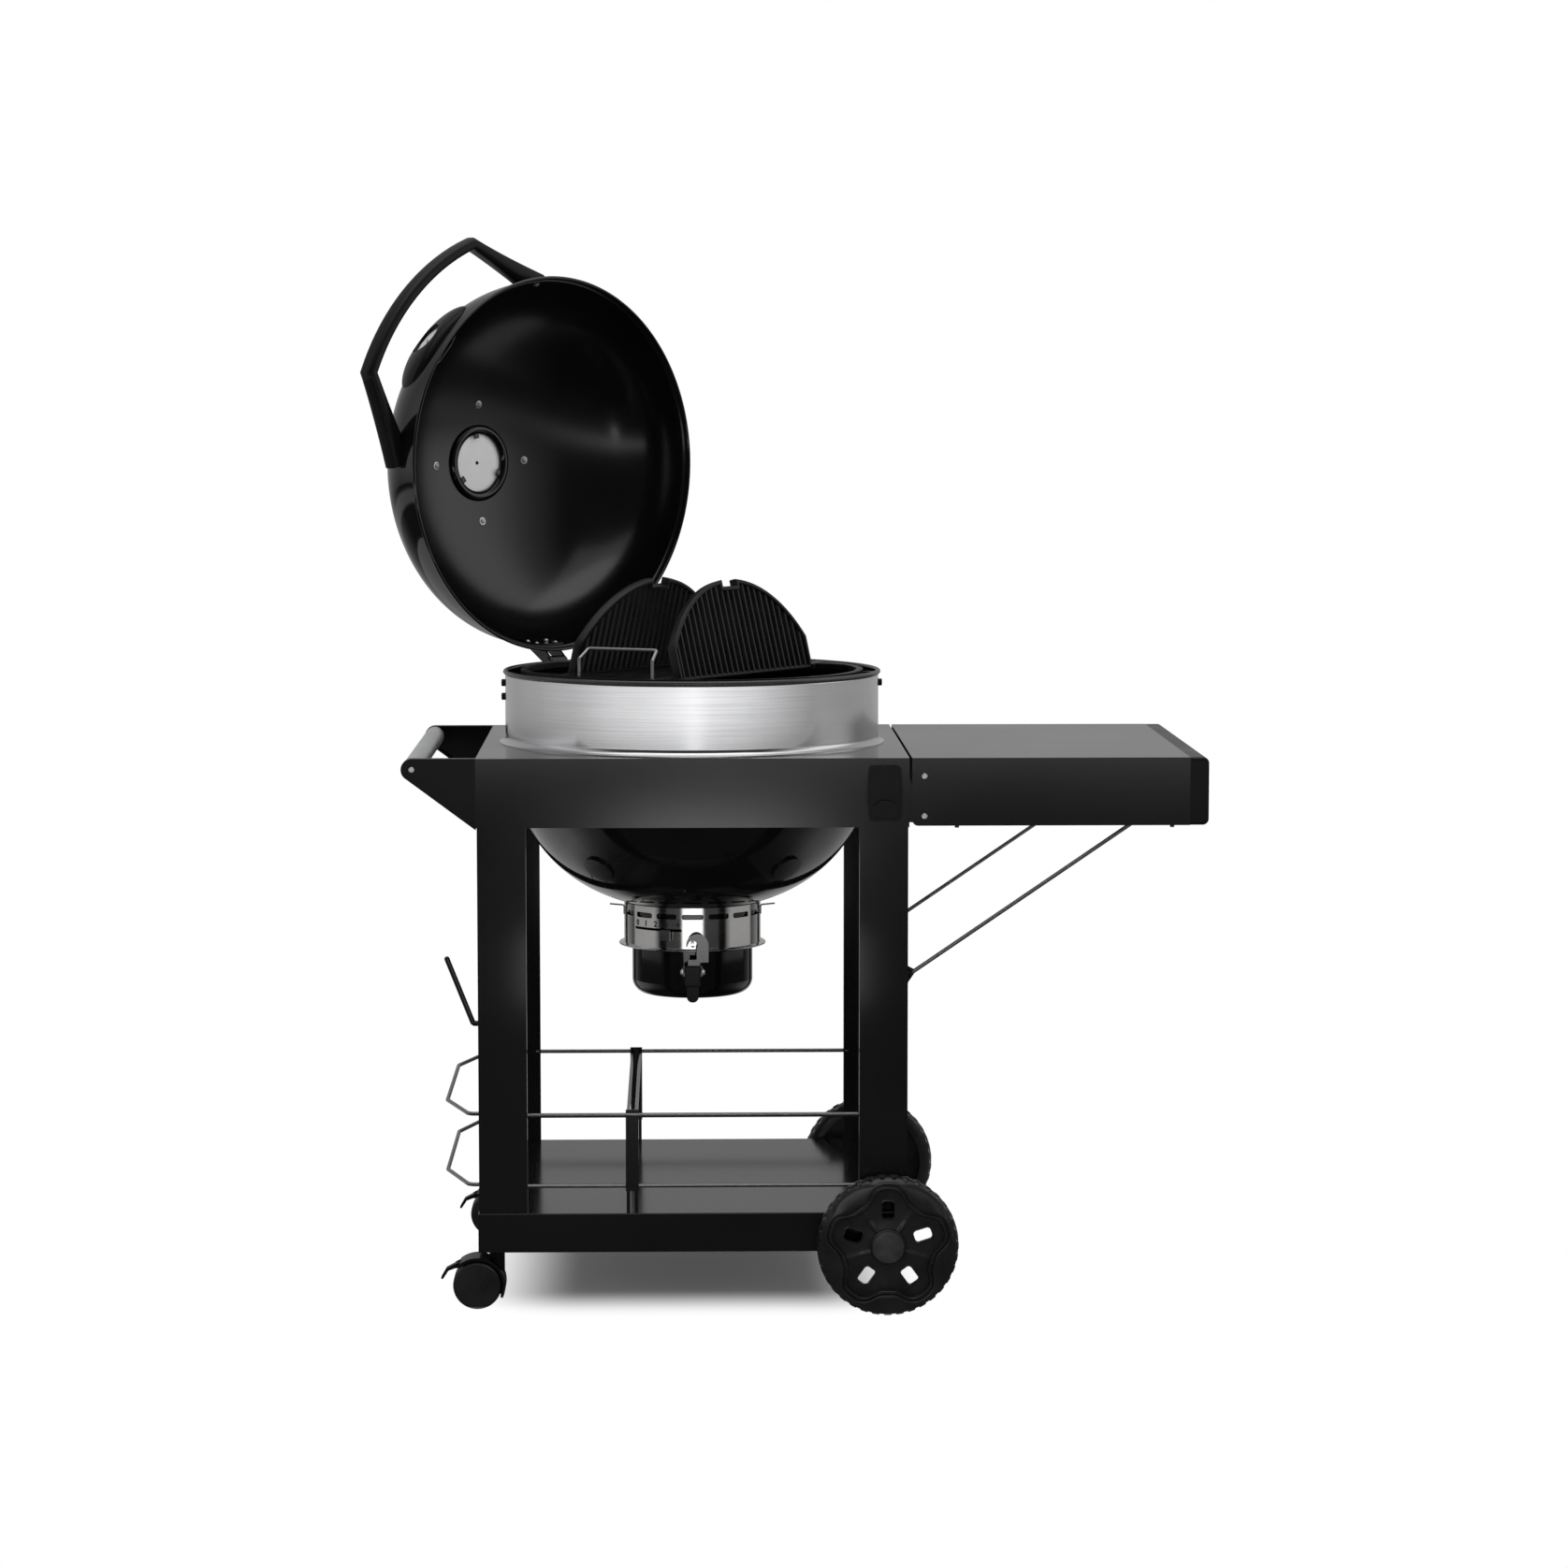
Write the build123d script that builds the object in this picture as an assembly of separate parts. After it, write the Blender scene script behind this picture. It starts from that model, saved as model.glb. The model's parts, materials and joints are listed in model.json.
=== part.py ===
from build123d import *
import math
import os

os.makedirs("parts", exist_ok=True)

# Millimetres. While it is built, the model stands on Z = 0 with the kettle's axis on X = Y = 0,
# +X towards the side shelf and -Y towards the cook. write_parts then moves everything, so that
# the origin is the middle of the whole grill's footprint, with the lid open.

# ---- general clearances and sheet ----
SHEET = 1.5  # folded sheet of the cart
GAP = 0.3  # standing clearance between neighbours that move apart
RUNNING = 0.06  # radial clearance of a pin in its hole
SCREW_R = 3.0
SCREW_HEAD_R = 4.6
SCREW_HEAD_H = 2.4

# ---- kettle ----
BOWL_R = 284.0
BOWL_WALL = 2.0
TABLE_Z = 822.0
BOWL_TOP_Z = TABLE_Z + 108.0
BOWL_ROUND_Z = TABLE_Z + 18.0  # where the straight wall ends
BOWL_DEPTH = 276.0  # rounded part below that
BOWL_FULLNESS = 2.3
RIM_R = 3.5
COLLAR_THICK = 1.5
COLLAR_FLARE = 9.0
VENT_IN_R = 34.0
VENT_OUT_R = 92.0
VENT_ANGLE = 36.0

# ---- cart ----
TABLE_SIDE = 34.0  # table left beside the kettle at its left and right
TABLE_END = 21.0  # and at the front and back
CART_WIDTH = 2 * (BOWL_R + TABLE_SIDE)
CART_DEPTH = 2 * (BOWL_R + TABLE_END)
HALF_W = CART_WIDTH / 2
HALF_D = CART_DEPTH / 2
BEAM_HEIGHT = 100.5
BEAM_FLANGE = 12.0
POST_FACE = 71.5
POST_SIDE = 44.0
POST_LIP = 12.0
PAN_TOP_Z = 147.0
PAN_HEIGHT = 58.0
PAN_LIP = 12.0

# ---- wires of the cart ----
WIRE_R = 3.0
WIRE_TOP_Z = 293.0
WIRE_LOW_Z = 187.0
WIRE_SETBACK = 8.0  # wire centre behind the cart's face
WIRE_END = 6.0  # length of wire inside the post
BOW_OUT = 52.0  # how far the left rails stand out
BOW_FLAT = 320.0  # straight length of the bowed rail
BOW_BEND_R = 14.0
DIVIDER_X = -90.5
DIVIDER_WIRE_R = 2.5
DIVIDER_SPREAD = 12.0
DIVIDER_TOP_Z = WIRE_TOP_Z - 2.0
DIVIDER_BEND_R = 16.0
STRAP_WIDTH = 19.0
STRAP_THICK = 1.6
HOOK_R = 4.0
HOOK_Z = 428.0
HOOK_OUT = 46.0
HOOK_RISE = 96.0

# ---- push handle at the left ----
NOSE_R = 16.0
NOSE_OUT = 93.0  # nose centre beyond the cart's left face
PLATE_DEPTH = 16.0
PLATE_WALL = 2.5
PLATE_HEIGHT = 105.0
TUBE_R = 15.0

# ---- side shelf and its brace ----
SHELF_LENGTH = 437.0
SHELF_JOINT = 4.0  # slit between the table and the shelf
SHELF_HEIGHT = 100.0
SHELF_CORNER_R = 9.0
CAP_WIDTH = 28.0
CAP_WALL = 3.0
PIVOT_IN = 18.0  # hinge pin from the shelf's inner end
PIVOT_UP = 14.0  # hinge pin above the skirt's lower edge
UPPER_SCREW_UP = 59.0  # upper screw above the hinge pin
EAR_R = 9.0
EAR_THICK = 2.5
BRACE_R = 3.0
BRACE_FOOT_Z = TABLE_Z - 319.0
BRACE_FOOT_OUT = 4.2  # brace pivot beyond the cart's right face
BRACE_INSET = 11.0  # brace leg's centre inside the shelf's outer face
BRACE_BAR_X = HALF_W + 350.0
BRACE_BAR_Z = TABLE_Z - 83.0
BRACE_BEND_R = 16.0
BRACE_END = 16.0  # bent-in end of each leg
SHELF_LIP = 5.0
LIP_START = 60.0
BUMPER_R = 3.2
BUMPER_H = 3.0
CATCH_LIP = 3.0
CATCH_ROOM = 8.5

# ---- wheels and casters ----
WHEEL_R = 104.5
WHEEL_WIDTH = 40.0
WHEEL_X = HALF_W - 32.0
WHEEL_GAP = 12.0  # from the cart's face to the wheel
LUGS = 36
LUG_DEPTH = 2.2
STAR_TIP_R = 84.0
STAR_VALLEY_R = 64.0
STAR_DEPTH = 9.0
WINDOW_R = 54.0
WINDOW_LONG = 26.0
WINDOW_WIDE = 18.0
HUB_R = 23.5
AXLE_R = 6.0
CASTER_R = 36.0
CASTER_TREAD = 18.0
CASTER_X = 26.0 - HALF_W
CASTER_Y = HALF_D - 37.0
CASTER_TRAIL = 29.0
CASTER_WEB = 8.0
HOOD_GAP = 2.0
HOOD_WALL = 4.0
BOSS_R = 11.5
BOSS_TOP_Z = 84.0
STEM_R = 5.5
STEM_LENGTH = 42.0
PEDAL_LENGTH = 30.0
PEDAL_WIDTH = 15.0
PEDAL_THICK = 4.5

# ---- grates ----
GRATE_R = BOWL_R - 22.0
GRATE_THICK = 8.0
CHORD = 97.0  # hinge line from the kettle's axis
HINGE_TURN = 56.0  # direction of the hinge lines, degrees from +X
FLAP_LENGTH = 367.0
FLAP_SIDE = 45.0
FLAP_HEIGHT = 138.0
FLAP_NOTCH = 20.0
FLAP_LEAN = 14.0
FLAP_RIBS = 18
RIB = 6.0
CHARCOAL_Z = BOWL_ROUND_Z - 138.0
CHARCOAL_WIRE_R = 4.0
CHARCOAL_BARS = 13

# ---- ash catcher ----
ASH_R = 105.0
ASH_LOW_Z = BOWL_ROUND_Z - BOWL_DEPTH - 54.0
ASH_SHEET = 1.2
ASH_FLANGE_R = ASH_R + 8.0
ASH_SLOTS = 16
ASH_SLOT_H = 7.2
ASH_SLOT_LONG = 33.0
ASH_SLOT_Z = ASH_LOW_Z + 52.0
ASH_PAN_R = ASH_R - 12.5
ASH_PAN_DEPTH = 76.0
ASH_PAN_ROUND = 22.0
ASH_PAN_WALL = 1.5
SHAFT_R = 5.0
LEVER_Z = ASH_LOW_Z + 31.5
LEVER_AT = 248.0  # azimuth of the lever at rest
LEVER_FROM = 214.0  # the scale slot's two ends
LEVER_TO = 261.0
LATCH_PIVOT_Z = ASH_LOW_Z - 26.0
LATCH_OUT = ASH_FLANGE_R + 5.0  # blade's face from the kettle's axis
STUD_Z = ASH_LOW_Z + 11.0

# ---- lid ----
LID_R = BOWL_R + 4.0
LID_WALL = 2.0
LID_SKIRT = 8.0
LID_STRAIGHT = 20.0
LID_DOME = 170.0
LID_FULLNESS = 2.25
LID_BEAD_R = 2.3
LID_TURN = 134.0  # azimuth of the lid hinge
HINGE_R = LID_R + 22.0
HINGE_Z = BOWL_TOP_Z + 1.0
PIN_R = 4.0
KNUCKLE_R = 8.0
LID_VENT_R = 43.0
LID_RING_R = LID_VENT_R + 18.0
HANDLE_R = LID_R + 80.0
HANDLE_HALF = 23.0
HANDLE_FOOT = 42.0
HANDLE_RISE = 52.0
HANDLE_THICK = 18.0
HANDLE_TALL = 28.0
BEZEL_R = 38.0
GAUGE_RISE = 66.0

UNDER_TOP = TABLE_Z - SHEET
BEAM_Z = UNDER_TOP - BEAM_HEIGHT
POST_LOW = PAN_TOP_Z
BODIES = {}


def box(x0, x1, y0, y1, z0, z1):
    """A box between two corners."""
    solid = Box(abs(x1 - x0), abs(y1 - y0), abs(z1 - z0))
    return Pos((x0 + x1) / 2, (y0 + y1) / 2, (z0 + z1) / 2) * solid


def rod(start, end, radius):
    """A round bar from one point to another."""
    line = Vector(*end) - Vector(*start)
    return extrude(Plane(origin=start, z_dir=line) * Circle(radius), line.length)


def pipe(points, bends, radius):
    """A bent wire along straight runs joined by arcs."""
    path = FilletPolyline(*points, radius=bends)
    return sweep(Plane(origin=points[0], z_dir=path % 0) * Circle(radius), path=path)


def screw(at, direction, length):
    """A domed screw whose head rests on a face at a point, with its shank into the face."""
    head = extrude(Plane(origin=at, z_dir=direction) * Circle(SCREW_HEAD_R), SCREW_HEAD_H)
    back = Vector(*direction) * -1
    shank = extrude(Plane(origin=at, z_dir=back) * Circle(SCREW_R), length)
    rim = head.edges().filter_by(GeomType.CIRCLE)
    far = sorted(rim, key=lambda e: (e.center() - Vector(*at)).length)[-1]
    return fillet(far, SCREW_HEAD_H * 0.6) + shank


def keep(name, *solids):
    """Store one node as a single shape or as a group of separate solids."""
    BODIES[name] = solids[0] if len(solids) == 1 else Compound(children=list(solids))


# ---------------------------------------------------------------- cart

POST_X = HALF_W - SHEET  # outer side of a post
POST_IN = POST_X - POST_FACE  # inner edge of a post's front face
POST_Y = HALF_D - SHEET
POST_BACK = POST_Y - POST_SIDE
BOW_Y = POST_Y - POST_SIDE / 2
WIRE_Y = HALF_D - WIRE_SETBACK
TABLE_HOLE_R = BOWL_R + 3.0


def table_top():
    """The flat top panel with the round opening that carries the kettle."""
    sheet = box(-HALF_W, HALF_W, -HALF_D, HALF_D, UNDER_TOP, TABLE_Z)
    sheet = fillet(sheet.edges().filter_by(Axis.Z), SHEET)
    return sheet - Pos(0, 0, UNDER_TOP) * extrude(Circle(TABLE_HOLE_R), SHEET)


def cross_beam(side):
    """A folded beam across the front (side -1) or the back (side 1)."""
    reach = POST_IN - GAP
    y = side * HALF_D
    inside = y - side * SHEET
    face = box(-HALF_W, HALF_W, y, inside, BEAM_Z, UNDER_TOP)
    top = box(-reach, reach, inside, y - side * BEAM_FLANGE, UNDER_TOP - SHEET, UNDER_TOP)
    low = box(-reach, reach, inside, y - side * BEAM_FLANGE * 2, BEAM_Z, BEAM_Z + SHEET)
    return face + top + low


def side_beam(side):
    """A folded beam along the left (side -1) or the right (side 1)."""
    reach = POST_BACK - GAP
    x = side * HALF_W
    inside = x - side * SHEET
    face = box(x, inside, -POST_Y, POST_Y, BEAM_Z, UNDER_TOP)
    top = box(inside, x - side * BEAM_FLANGE, -reach, reach, UNDER_TOP - SHEET, UNDER_TOP)
    low = box(inside, x - side * BEAM_FLANGE * 2, -reach, reach, BEAM_Z, BEAM_Z + SHEET)
    return face + top + low


def post(side_x, side_y):
    """A corner post: an open angle with a returned lip on each edge, holed for the wires."""
    s = SHEET
    corners = [
        (POST_IN, POST_Y - POST_LIP),
        (POST_IN, POST_Y),
        (POST_X, POST_Y),
        (POST_X, POST_BACK),
        (POST_X - POST_LIP, POST_BACK),
        (POST_X - POST_LIP, POST_BACK + s),
        (POST_X - s, POST_BACK + s),
        (POST_X - s, POST_Y - s),
        (POST_IN + s, POST_Y - s),
        (POST_IN + s, POST_Y - POST_LIP),
    ]
    outline = Polyline(*[(side_x * x, side_y * y) for x, y in corners], close=True)
    solid = extrude(Pos(0, 0, POST_LOW) * make_face(outline), UNDER_TOP - POST_LOW)
    for z in (WIRE_TOP_Z, WIRE_LOW_Z):
        start = (side_x * (POST_IN - s), side_y * WIRE_Y, z)
        solid -= rod(start, (side_x * (POST_IN + 3 * s), side_y * WIRE_Y, z), WIRE_R + GAP)
        if side_x < 0:
            start = (-POST_X - s, side_y * BOW_Y, z)
            solid -= rod(start, (-POST_X + 3 * s, side_y * BOW_Y, z), WIRE_R + GAP)
    return solid


def bottom_pan():
    """The bottom shelf: a pressed pan, open below, with lips turned in under its skirts."""
    low = PAN_TOP_Z - PAN_HEIGHT
    pan = box(-HALF_W, HALF_W, -HALF_D, HALF_D, low, PAN_TOP_Z)
    pan = fillet(pan.edges().group_by(Axis.Z)[-1], SHEET)
    x, y = HALF_W - SHEET, HALF_D - SHEET
    pan -= box(-x, x, -y, y, low + SHEET, PAN_TOP_Z - SHEET)
    x, y = HALF_W - PAN_LIP, HALF_D - PAN_LIP
    pan -= box(-x, x, -y, y, low, low + SHEET)
    for side in (-1, 1):
        axle = rod((WHEEL_X, side * (HALF_D + 1), WHEEL_R), (WHEEL_X, side * y, WHEEL_R), AXLE_R + GAP)
        pan -= axle
    return pan


def cross_wires(side):
    """The two straight wires between the front or the back posts."""
    end = POST_IN + SHEET + WIRE_END
    y = side * WIRE_Y
    return [rod((-end, y, z), (end, y, z), WIRE_R) for z in (WIRE_TOP_Z, WIRE_LOW_Z)]


def bowed_wires():
    """The two rails at the left, bowed outwards between the posts."""
    inner = -(POST_X - SHEET - WIRE_END)
    outer = -(HALF_W + BOW_OUT)
    shoulder = -(HALF_W + BOW_BEND_R)
    wires = []
    for z in (WIRE_TOP_Z, WIRE_LOW_Z):
        half = [(inner, BOW_Y, z), (shoulder, BOW_Y, z), (outer, BOW_FLAT / 2, z)]
        back = [(x, -y, height) for x, y, height in reversed(half)]
        wires.append(pipe(half + back, BOW_BEND_R, WIRE_R))
    return wires


def strap(side):
    """A flat spring strap that runs behind the upper wire and in front of the lower one."""
    reach = 7.0
    shift = WIRE_R + STRAP_THICK
    slope = 2 * shift / (WIRE_TOP_Z - WIRE_LOW_Z)
    low, high = WIRE_LOW_Z - reach, WIRE_TOP_Z + reach
    y_low = WIRE_Y + shift + slope * reach
    y_high = WIRE_Y - shift - slope * reach
    half = STRAP_THICK / 2
    corners = [(y_low - half, low), (y_low + half, low), (y_high + half, high), (y_high - half, high)]
    points = [(DIVIDER_X - STRAP_WIDTH / 2, side * y, z) for y, z in corners]
    return extrude(make_face(Polyline(*points, close=True)), STRAP_WIDTH, dir=(1, 0, 0))


def bag_divider():
    """Two wire hoops side by side, joined by a strap at the front and one at the back."""
    reach = WIRE_Y - WIRE_R - GAP - DIVIDER_WIRE_R
    divider = strap(-1) + strap(1)
    for spread in (-DIVIDER_SPREAD / 2, DIVIDER_SPREAD / 2):
        x = DIVIDER_X + spread
        points = [(x, -reach, PAN_TOP_Z), (x, -reach, DIVIDER_TOP_Z)]
        points += [(x, reach, DIVIDER_TOP_Z), (x, reach, PAN_TOP_Z)]
        divider += pipe(points, DIVIDER_BEND_R, DIVIDER_WIRE_R)
    return divider


def tool_hook():
    """A round hook that leans out from the front left post."""
    y = -BOW_Y
    tip = (-POST_X - HOOK_OUT, y, HOOK_Z + HOOK_RISE)
    points = [(-POST_X, y, HOOK_Z), (-POST_X - HOOK_R * 2, y, HOOK_Z), tip]
    return pipe(points, HOOK_R, HOOK_R) + Pos(*tip) * Sphere(HOOK_R)


NOSE = (-(HALF_W + NOSE_OUT), TABLE_Z - NOSE_R)


def handle_plate(side):
    """A pressed triangular bracket, open inwards, whose nose carries the push tube."""
    nose = Pos(*NOSE) * Circle(NOSE_R)
    root = Line((-HALF_W, TABLE_Z), (-HALF_W, TABLE_Z - PLATE_HEIGHT))
    outline = make_hull(nose.edges() + ShapeList([root]))
    cavity = offset(outline, -PLATE_WALL, kind=Kind.ARC)
    plane = Plane(origin=(0, side * HALF_D, 0), x_dir=(1, 0, 0), z_dir=(0, -1, 0))
    solid = extrude(plane * outline, side * PLATE_DEPTH)
    depth = PLATE_DEPTH - PLATE_WALL
    inner = plane.offset(side * PLATE_WALL)
    solid -= extrude(inner * cavity, side * depth)
    return solid - extrude(plane * Pos(*NOSE) * Circle(SCREW_R), side * PLATE_DEPTH, both=True)


def handle_tube():
    """The push tube, butted between the two brackets."""
    y = HALF_D - PLATE_DEPTH
    start, end = (NOSE[0], -y, NOSE[1]), (NOSE[0], y, NOSE[1])
    return rod(start, end, TUBE_R) - rod(start, end, NOSE_R - PLATE_WALL)


def handle_screws():
    """One screw through the nose of each bracket."""
    return [
        screw((NOSE[0], side * HALF_D, NOSE[1]), (0, side, 0), PLATE_WALL + 2)
        for side in (-1, 1)
    ]


OPENER_X = 282.0
OPENER_Z = 770.0
OPENER_SIZE = (46.0, 82.0)
OPENER_BULGE = 3.0
OPENER_THICK = 4.0


def opener_outline(inset):
    """A rounded plate outline with barrel sides, inset all round."""
    x = OPENER_SIZE[0] / 2 - inset
    z = OPENER_SIZE[1] / 2 - inset
    right = ThreePointArc((x, -z), (x + OPENER_BULGE, 0), (x, z))
    left = ThreePointArc((-x, z), (-x - OPENER_BULGE, 0), (-x, -z))
    outline = make_face([Line((-x, -z), (x, -z)), right, Line((x, z), (-x, z)), left])
    return fillet(outline.vertices(), 6.0)


OPENER_PLANE = Plane(origin=(OPENER_X, -HALF_D, OPENER_Z), x_dir=(1, 0, 0), z_dir=(0, -1, 0))


def opener_plate():
    """The bottle opener's dished back plate."""
    plate = extrude(OPENER_PLANE * opener_outline(0), OPENER_THICK)
    dish = OPENER_PLANE.offset(OPENER_THICK / 3) * opener_outline(3.0)
    return plate - extrude(dish, OPENER_THICK)


def opener_lip():
    """The arched steel lip that catches under a bottle cap."""
    arch = ThreePointArc((-17, -18), (0, -10), (17, -18))
    under = ThreePointArc((12, -22), (0, -16), (-12, -22))
    ends = [Line((17, -18), (12, -22)), Line((-12, -22), (-17, -18))]
    face = make_face([arch, ends[0], under, ends[1]])
    return extrude(OPENER_PLANE.offset(OPENER_THICK / 3) * face, 8.0)


def build_cart():
    """All the fixed sheet and wire of the cart."""
    keep("table_top", table_top())
    keep("front_beam", cross_beam(-1))
    keep("back_beam", cross_beam(1))
    keep("side_beams", side_beam(-1), side_beam(1))
    keep("front_posts", post(-1, -1), post(1, -1))
    keep("back_posts", post(-1, 1), post(1, 1))
    keep("bottom_shelf", bottom_pan())
    keep("cross_wire_rails", *cross_wires(-1), *cross_wires(1))
    keep("left_wire_rails", *bowed_wires())
    keep("bag_divider", bag_divider())
    keep("tool_hook", tool_hook())
    keep("push_handle_brackets", handle_plate(-1), handle_plate(1))
    keep("push_handle_tube", handle_tube())
    keep("cart_screws", *handle_screws(), *pivot_screws())
    keep("bottle_opener", opener_plate(), opener_lip())


# ---------------------------------------------------------------- side shelf and brace

SHELF_X = HALF_W + SHELF_JOINT
SHELF_END = SHELF_X + SHELF_LENGTH
SHELF_LOW = TABLE_Z - SHELF_HEIGHT
CAP_X = SHELF_END - CAP_WIDTH
PIVOT_X = SHELF_X + PIVOT_IN
PIVOT_Z = SHELF_LOW + PIVOT_UP
UPPER_Z = PIVOT_Z + UPPER_SCREW_UP
EAR_Y = HALF_D - SHEET - GAP  # outer side of a hinge ear
FOOT_X = HALF_W + BRACE_FOOT_OUT
BRACE_Y = HALF_D - BRACE_INSET


def shelf_panel():
    """A folded channel: top and two skirts with turned-in lips, open at the hinge end."""
    panel = box(SHELF_X, CAP_X, -HALF_D, HALF_D, SHELF_LOW, TABLE_Z)
    along_y = panel.edges().filter_by(Axis.Y)
    panel = fillet(along_y.group_by(Axis.X)[0].group_by(Axis.Z)[0], SHELF_CORNER_R)
    top_edges = panel.edges().filter_by(Axis.X).group_by(Axis.Z)[-1]
    panel = fillet(top_edges, SHEET)
    y = HALF_D - SHEET
    panel -= box(SHELF_X, CAP_X, -y, y, SHELF_LOW + SHEET, TABLE_Z - SHEET)
    lip_y = y - SHELF_LIP
    panel -= box(SHELF_X, CAP_X, -lip_y, lip_y, SHELF_LOW, TABLE_Z - SHEET)
    panel -= box(SHELF_X, SHELF_X + LIP_START, -y, y, SHELF_LOW, TABLE_Z - SHEET)
    for side in (-1, 1):
        outside, inside = side * (HALF_D + 1), side * (y - 1)
        panel -= rod((PIVOT_X, outside, PIVOT_Z), (PIVOT_X, inside, PIVOT_Z), SCREW_R + RUNNING)
        panel -= rod((PIVOT_X, outside, UPPER_Z), (PIVOT_X, inside, UPPER_Z), SCREW_R)
    return panel


def shelf_cap():
    """The moulded cap that closes the shelf's outer end."""
    cap = box(CAP_X, SHELF_END, -HALF_D, HALF_D, SHELF_LOW, TABLE_Z)
    outer = cap.faces().sort_by(Axis.X)[-1].edges()
    cap = fillet(outer.filter_by(Axis.Y), SHELF_CORNER_R)
    cap = fillet(cap.edges().filter_by(Axis.Z).group_by(Axis.X)[-1], SHELF_CORNER_R / 2)
    y = HALF_D - CAP_WALL
    low, high = SHELF_LOW + CAP_WALL, TABLE_Z - CAP_WALL
    return cap - box(CAP_X, SHELF_END - CAP_WALL, -y, y, low, high)


def stiffener(side):
    """A plate behind each skirt, held by the upper screw."""
    y = side * (HALF_D - SHEET)
    plate = box(PIVOT_X - 10, PIVOT_X + 12, y, y - side * EAR_THICK, UPPER_Z - 12, UPPER_Z + 12)
    start, end = (PIVOT_X, y + side, UPPER_Z), (PIVOT_X, y - side * EAR_THICK * 2, UPPER_Z)
    return plate - rod(start, end, SCREW_R)


def upper_screws():
    """The screws that clamp the stiffeners to the skirts."""
    length = SHEET + EAR_THICK + 1
    return [screw((PIVOT_X, side * HALF_D, UPPER_Z), (0, side, 0), length) for side in (-1, 1)]


def bumpers():
    """Round buffers under the lips, which meet the posts when the shelf hangs down."""
    y = HALF_D - SHEET - SHELF_LIP / 2
    places = [(x, side * y) for side in (-1, 1) for x in (SHELF_X + LIP_START + 6, CAP_X - 26)]
    low = SHELF_LOW - BUMPER_H
    return [Pos(x, y, low) * extrude(Circle(BUMPER_R), BUMPER_H) for x, y in places]


def brace_catch():
    """A folded hook under the shelf top that the brace's cross bar stands in."""
    s = SHEET
    clear = BRACE_R + 2 * GAP
    x, z = BRACE_BAR_X, BRACE_BAR_Z
    seat = z + clear
    back = x - clear
    front = x + CATCH_ROOM
    corners = [
        (back - s, TABLE_Z - SHEET),
        (back - s, z),
        (back, z),
        (back, seat),
        (front, seat),
        (front, seat - CATCH_LIP),
        (front + s, seat - CATCH_LIP),
        (front + s, seat + s),
        (back, seat + s),
        (back, TABLE_Z - SHEET),
    ]
    half = 40.0
    outline = make_face(Polyline(*[(x, -half, z) for x, z in corners], close=True))
    return extrude(outline, 2 * half, dir=(0, 1, 0))


def hinge_ear(side):
    """A folded ear on the right beam, with a foot against the beam."""
    low, high = PIVOT_Z - EAR_R, UPPER_Z - 5
    root = Line((HALF_W, low), (HALF_W, high))
    outline = make_hull((Pos(PIVOT_X, PIVOT_Z) * Circle(EAR_R)).edges() + ShapeList([root]))
    plane = Plane(origin=(0, side * EAR_Y, 0), x_dir=(1, 0, 0), z_dir=(0, -1, 0))
    ear = extrude(plane * outline, side * EAR_THICK)
    foot_y = EAR_Y - EAR_R * 2
    ear += box(HALF_W, HALF_W + SHEET, side * foot_y, side * EAR_Y, low, high)
    start = (PIVOT_X, side * (EAR_Y + 1), PIVOT_Z)
    return ear - rod(start, (PIVOT_X, side * foot_y, PIVOT_Z), SCREW_R)


def pivot_screws():
    """The two screws the shelf turns on."""
    y = HALF_D + GAP
    length = y - EAR_Y + EAR_THICK + 2
    return [screw((PIVOT_X, side * y, PIVOT_Z), (0, side, 0), length) for side in (-1, 1)]


BRACE_EAR_Y = BRACE_Y - BRACE_END / 2 - BRACE_R


def brace_ear(side):
    """An angle on the right-hand post that the brace's foot hooks into."""
    y0, y1 = side * BRACE_EAR_Y, side * (BRACE_EAR_Y - EAR_THICK)
    low, high = BRACE_FOOT_Z - 2 * EAR_R, BRACE_FOOT_Z + EAR_R
    root = Line((POST_X, low), (POST_X, high))
    eye = Pos(FOOT_X, BRACE_FOOT_Z) * Circle(FOOT_X - POST_X - GAP)
    plane = Plane(origin=(0, y0, 0), x_dir=(1, 0, 0), z_dir=(0, -1, 0))
    ear = extrude(plane * make_hull(eye.edges() + ShapeList([root])), side * EAR_THICK)
    foot = box(POST_X, POST_X + SHEET, y1, y1 - side * EAR_R, low, high)
    hole = rod((FOOT_X, y0 + side, BRACE_FOOT_Z), (FOOT_X, y1 - side, BRACE_FOOT_Z), BRACE_R + RUNNING)
    return ear + foot - hole


def brace():
    """The bent wire under the shelf: two legs, a cross bar, and feet turned in to the ears."""
    foot_y = BRACE_Y - BRACE_END
    points = [
        (FOOT_X, -foot_y, BRACE_FOOT_Z),
        (FOOT_X, -BRACE_Y, BRACE_FOOT_Z),
        (BRACE_BAR_X, -BRACE_Y, BRACE_BAR_Z),
        (BRACE_BAR_X, BRACE_Y, BRACE_BAR_Z),
        (FOOT_X, BRACE_Y, BRACE_FOOT_Z),
        (FOOT_X, foot_y, BRACE_FOOT_Z),
    ]
    tight = BRACE_R * 1.6
    return pipe(points, [tight, BRACE_BEND_R, BRACE_BEND_R, tight], BRACE_R)


def build_shelf():
    """The folding side shelf, what it turns on and what props it up."""
    keep("shelf_panel", shelf_panel())
    keep("shelf_end_cap", shelf_cap())
    keep("shelf_stiffeners", stiffener(-1), stiffener(1))
    keep("shelf_screws", *upper_screws())
    keep("shelf_bumpers", *bumpers())
    keep("brace_catch", brace_catch())
    keep("shelf_ears", hinge_ear(-1), hinge_ear(1), brace_ear(-1), brace_ear(1))
    keep("shelf_brace", brace())


# ---------------------------------------------------------------- wheels and casters

WHEEL_Y = HALF_D + WHEEL_GAP  # inner face of a wheel
HUB_POCKET = 9.0
NUT_R = 10.5
NUT_THICK = 3.0


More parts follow.
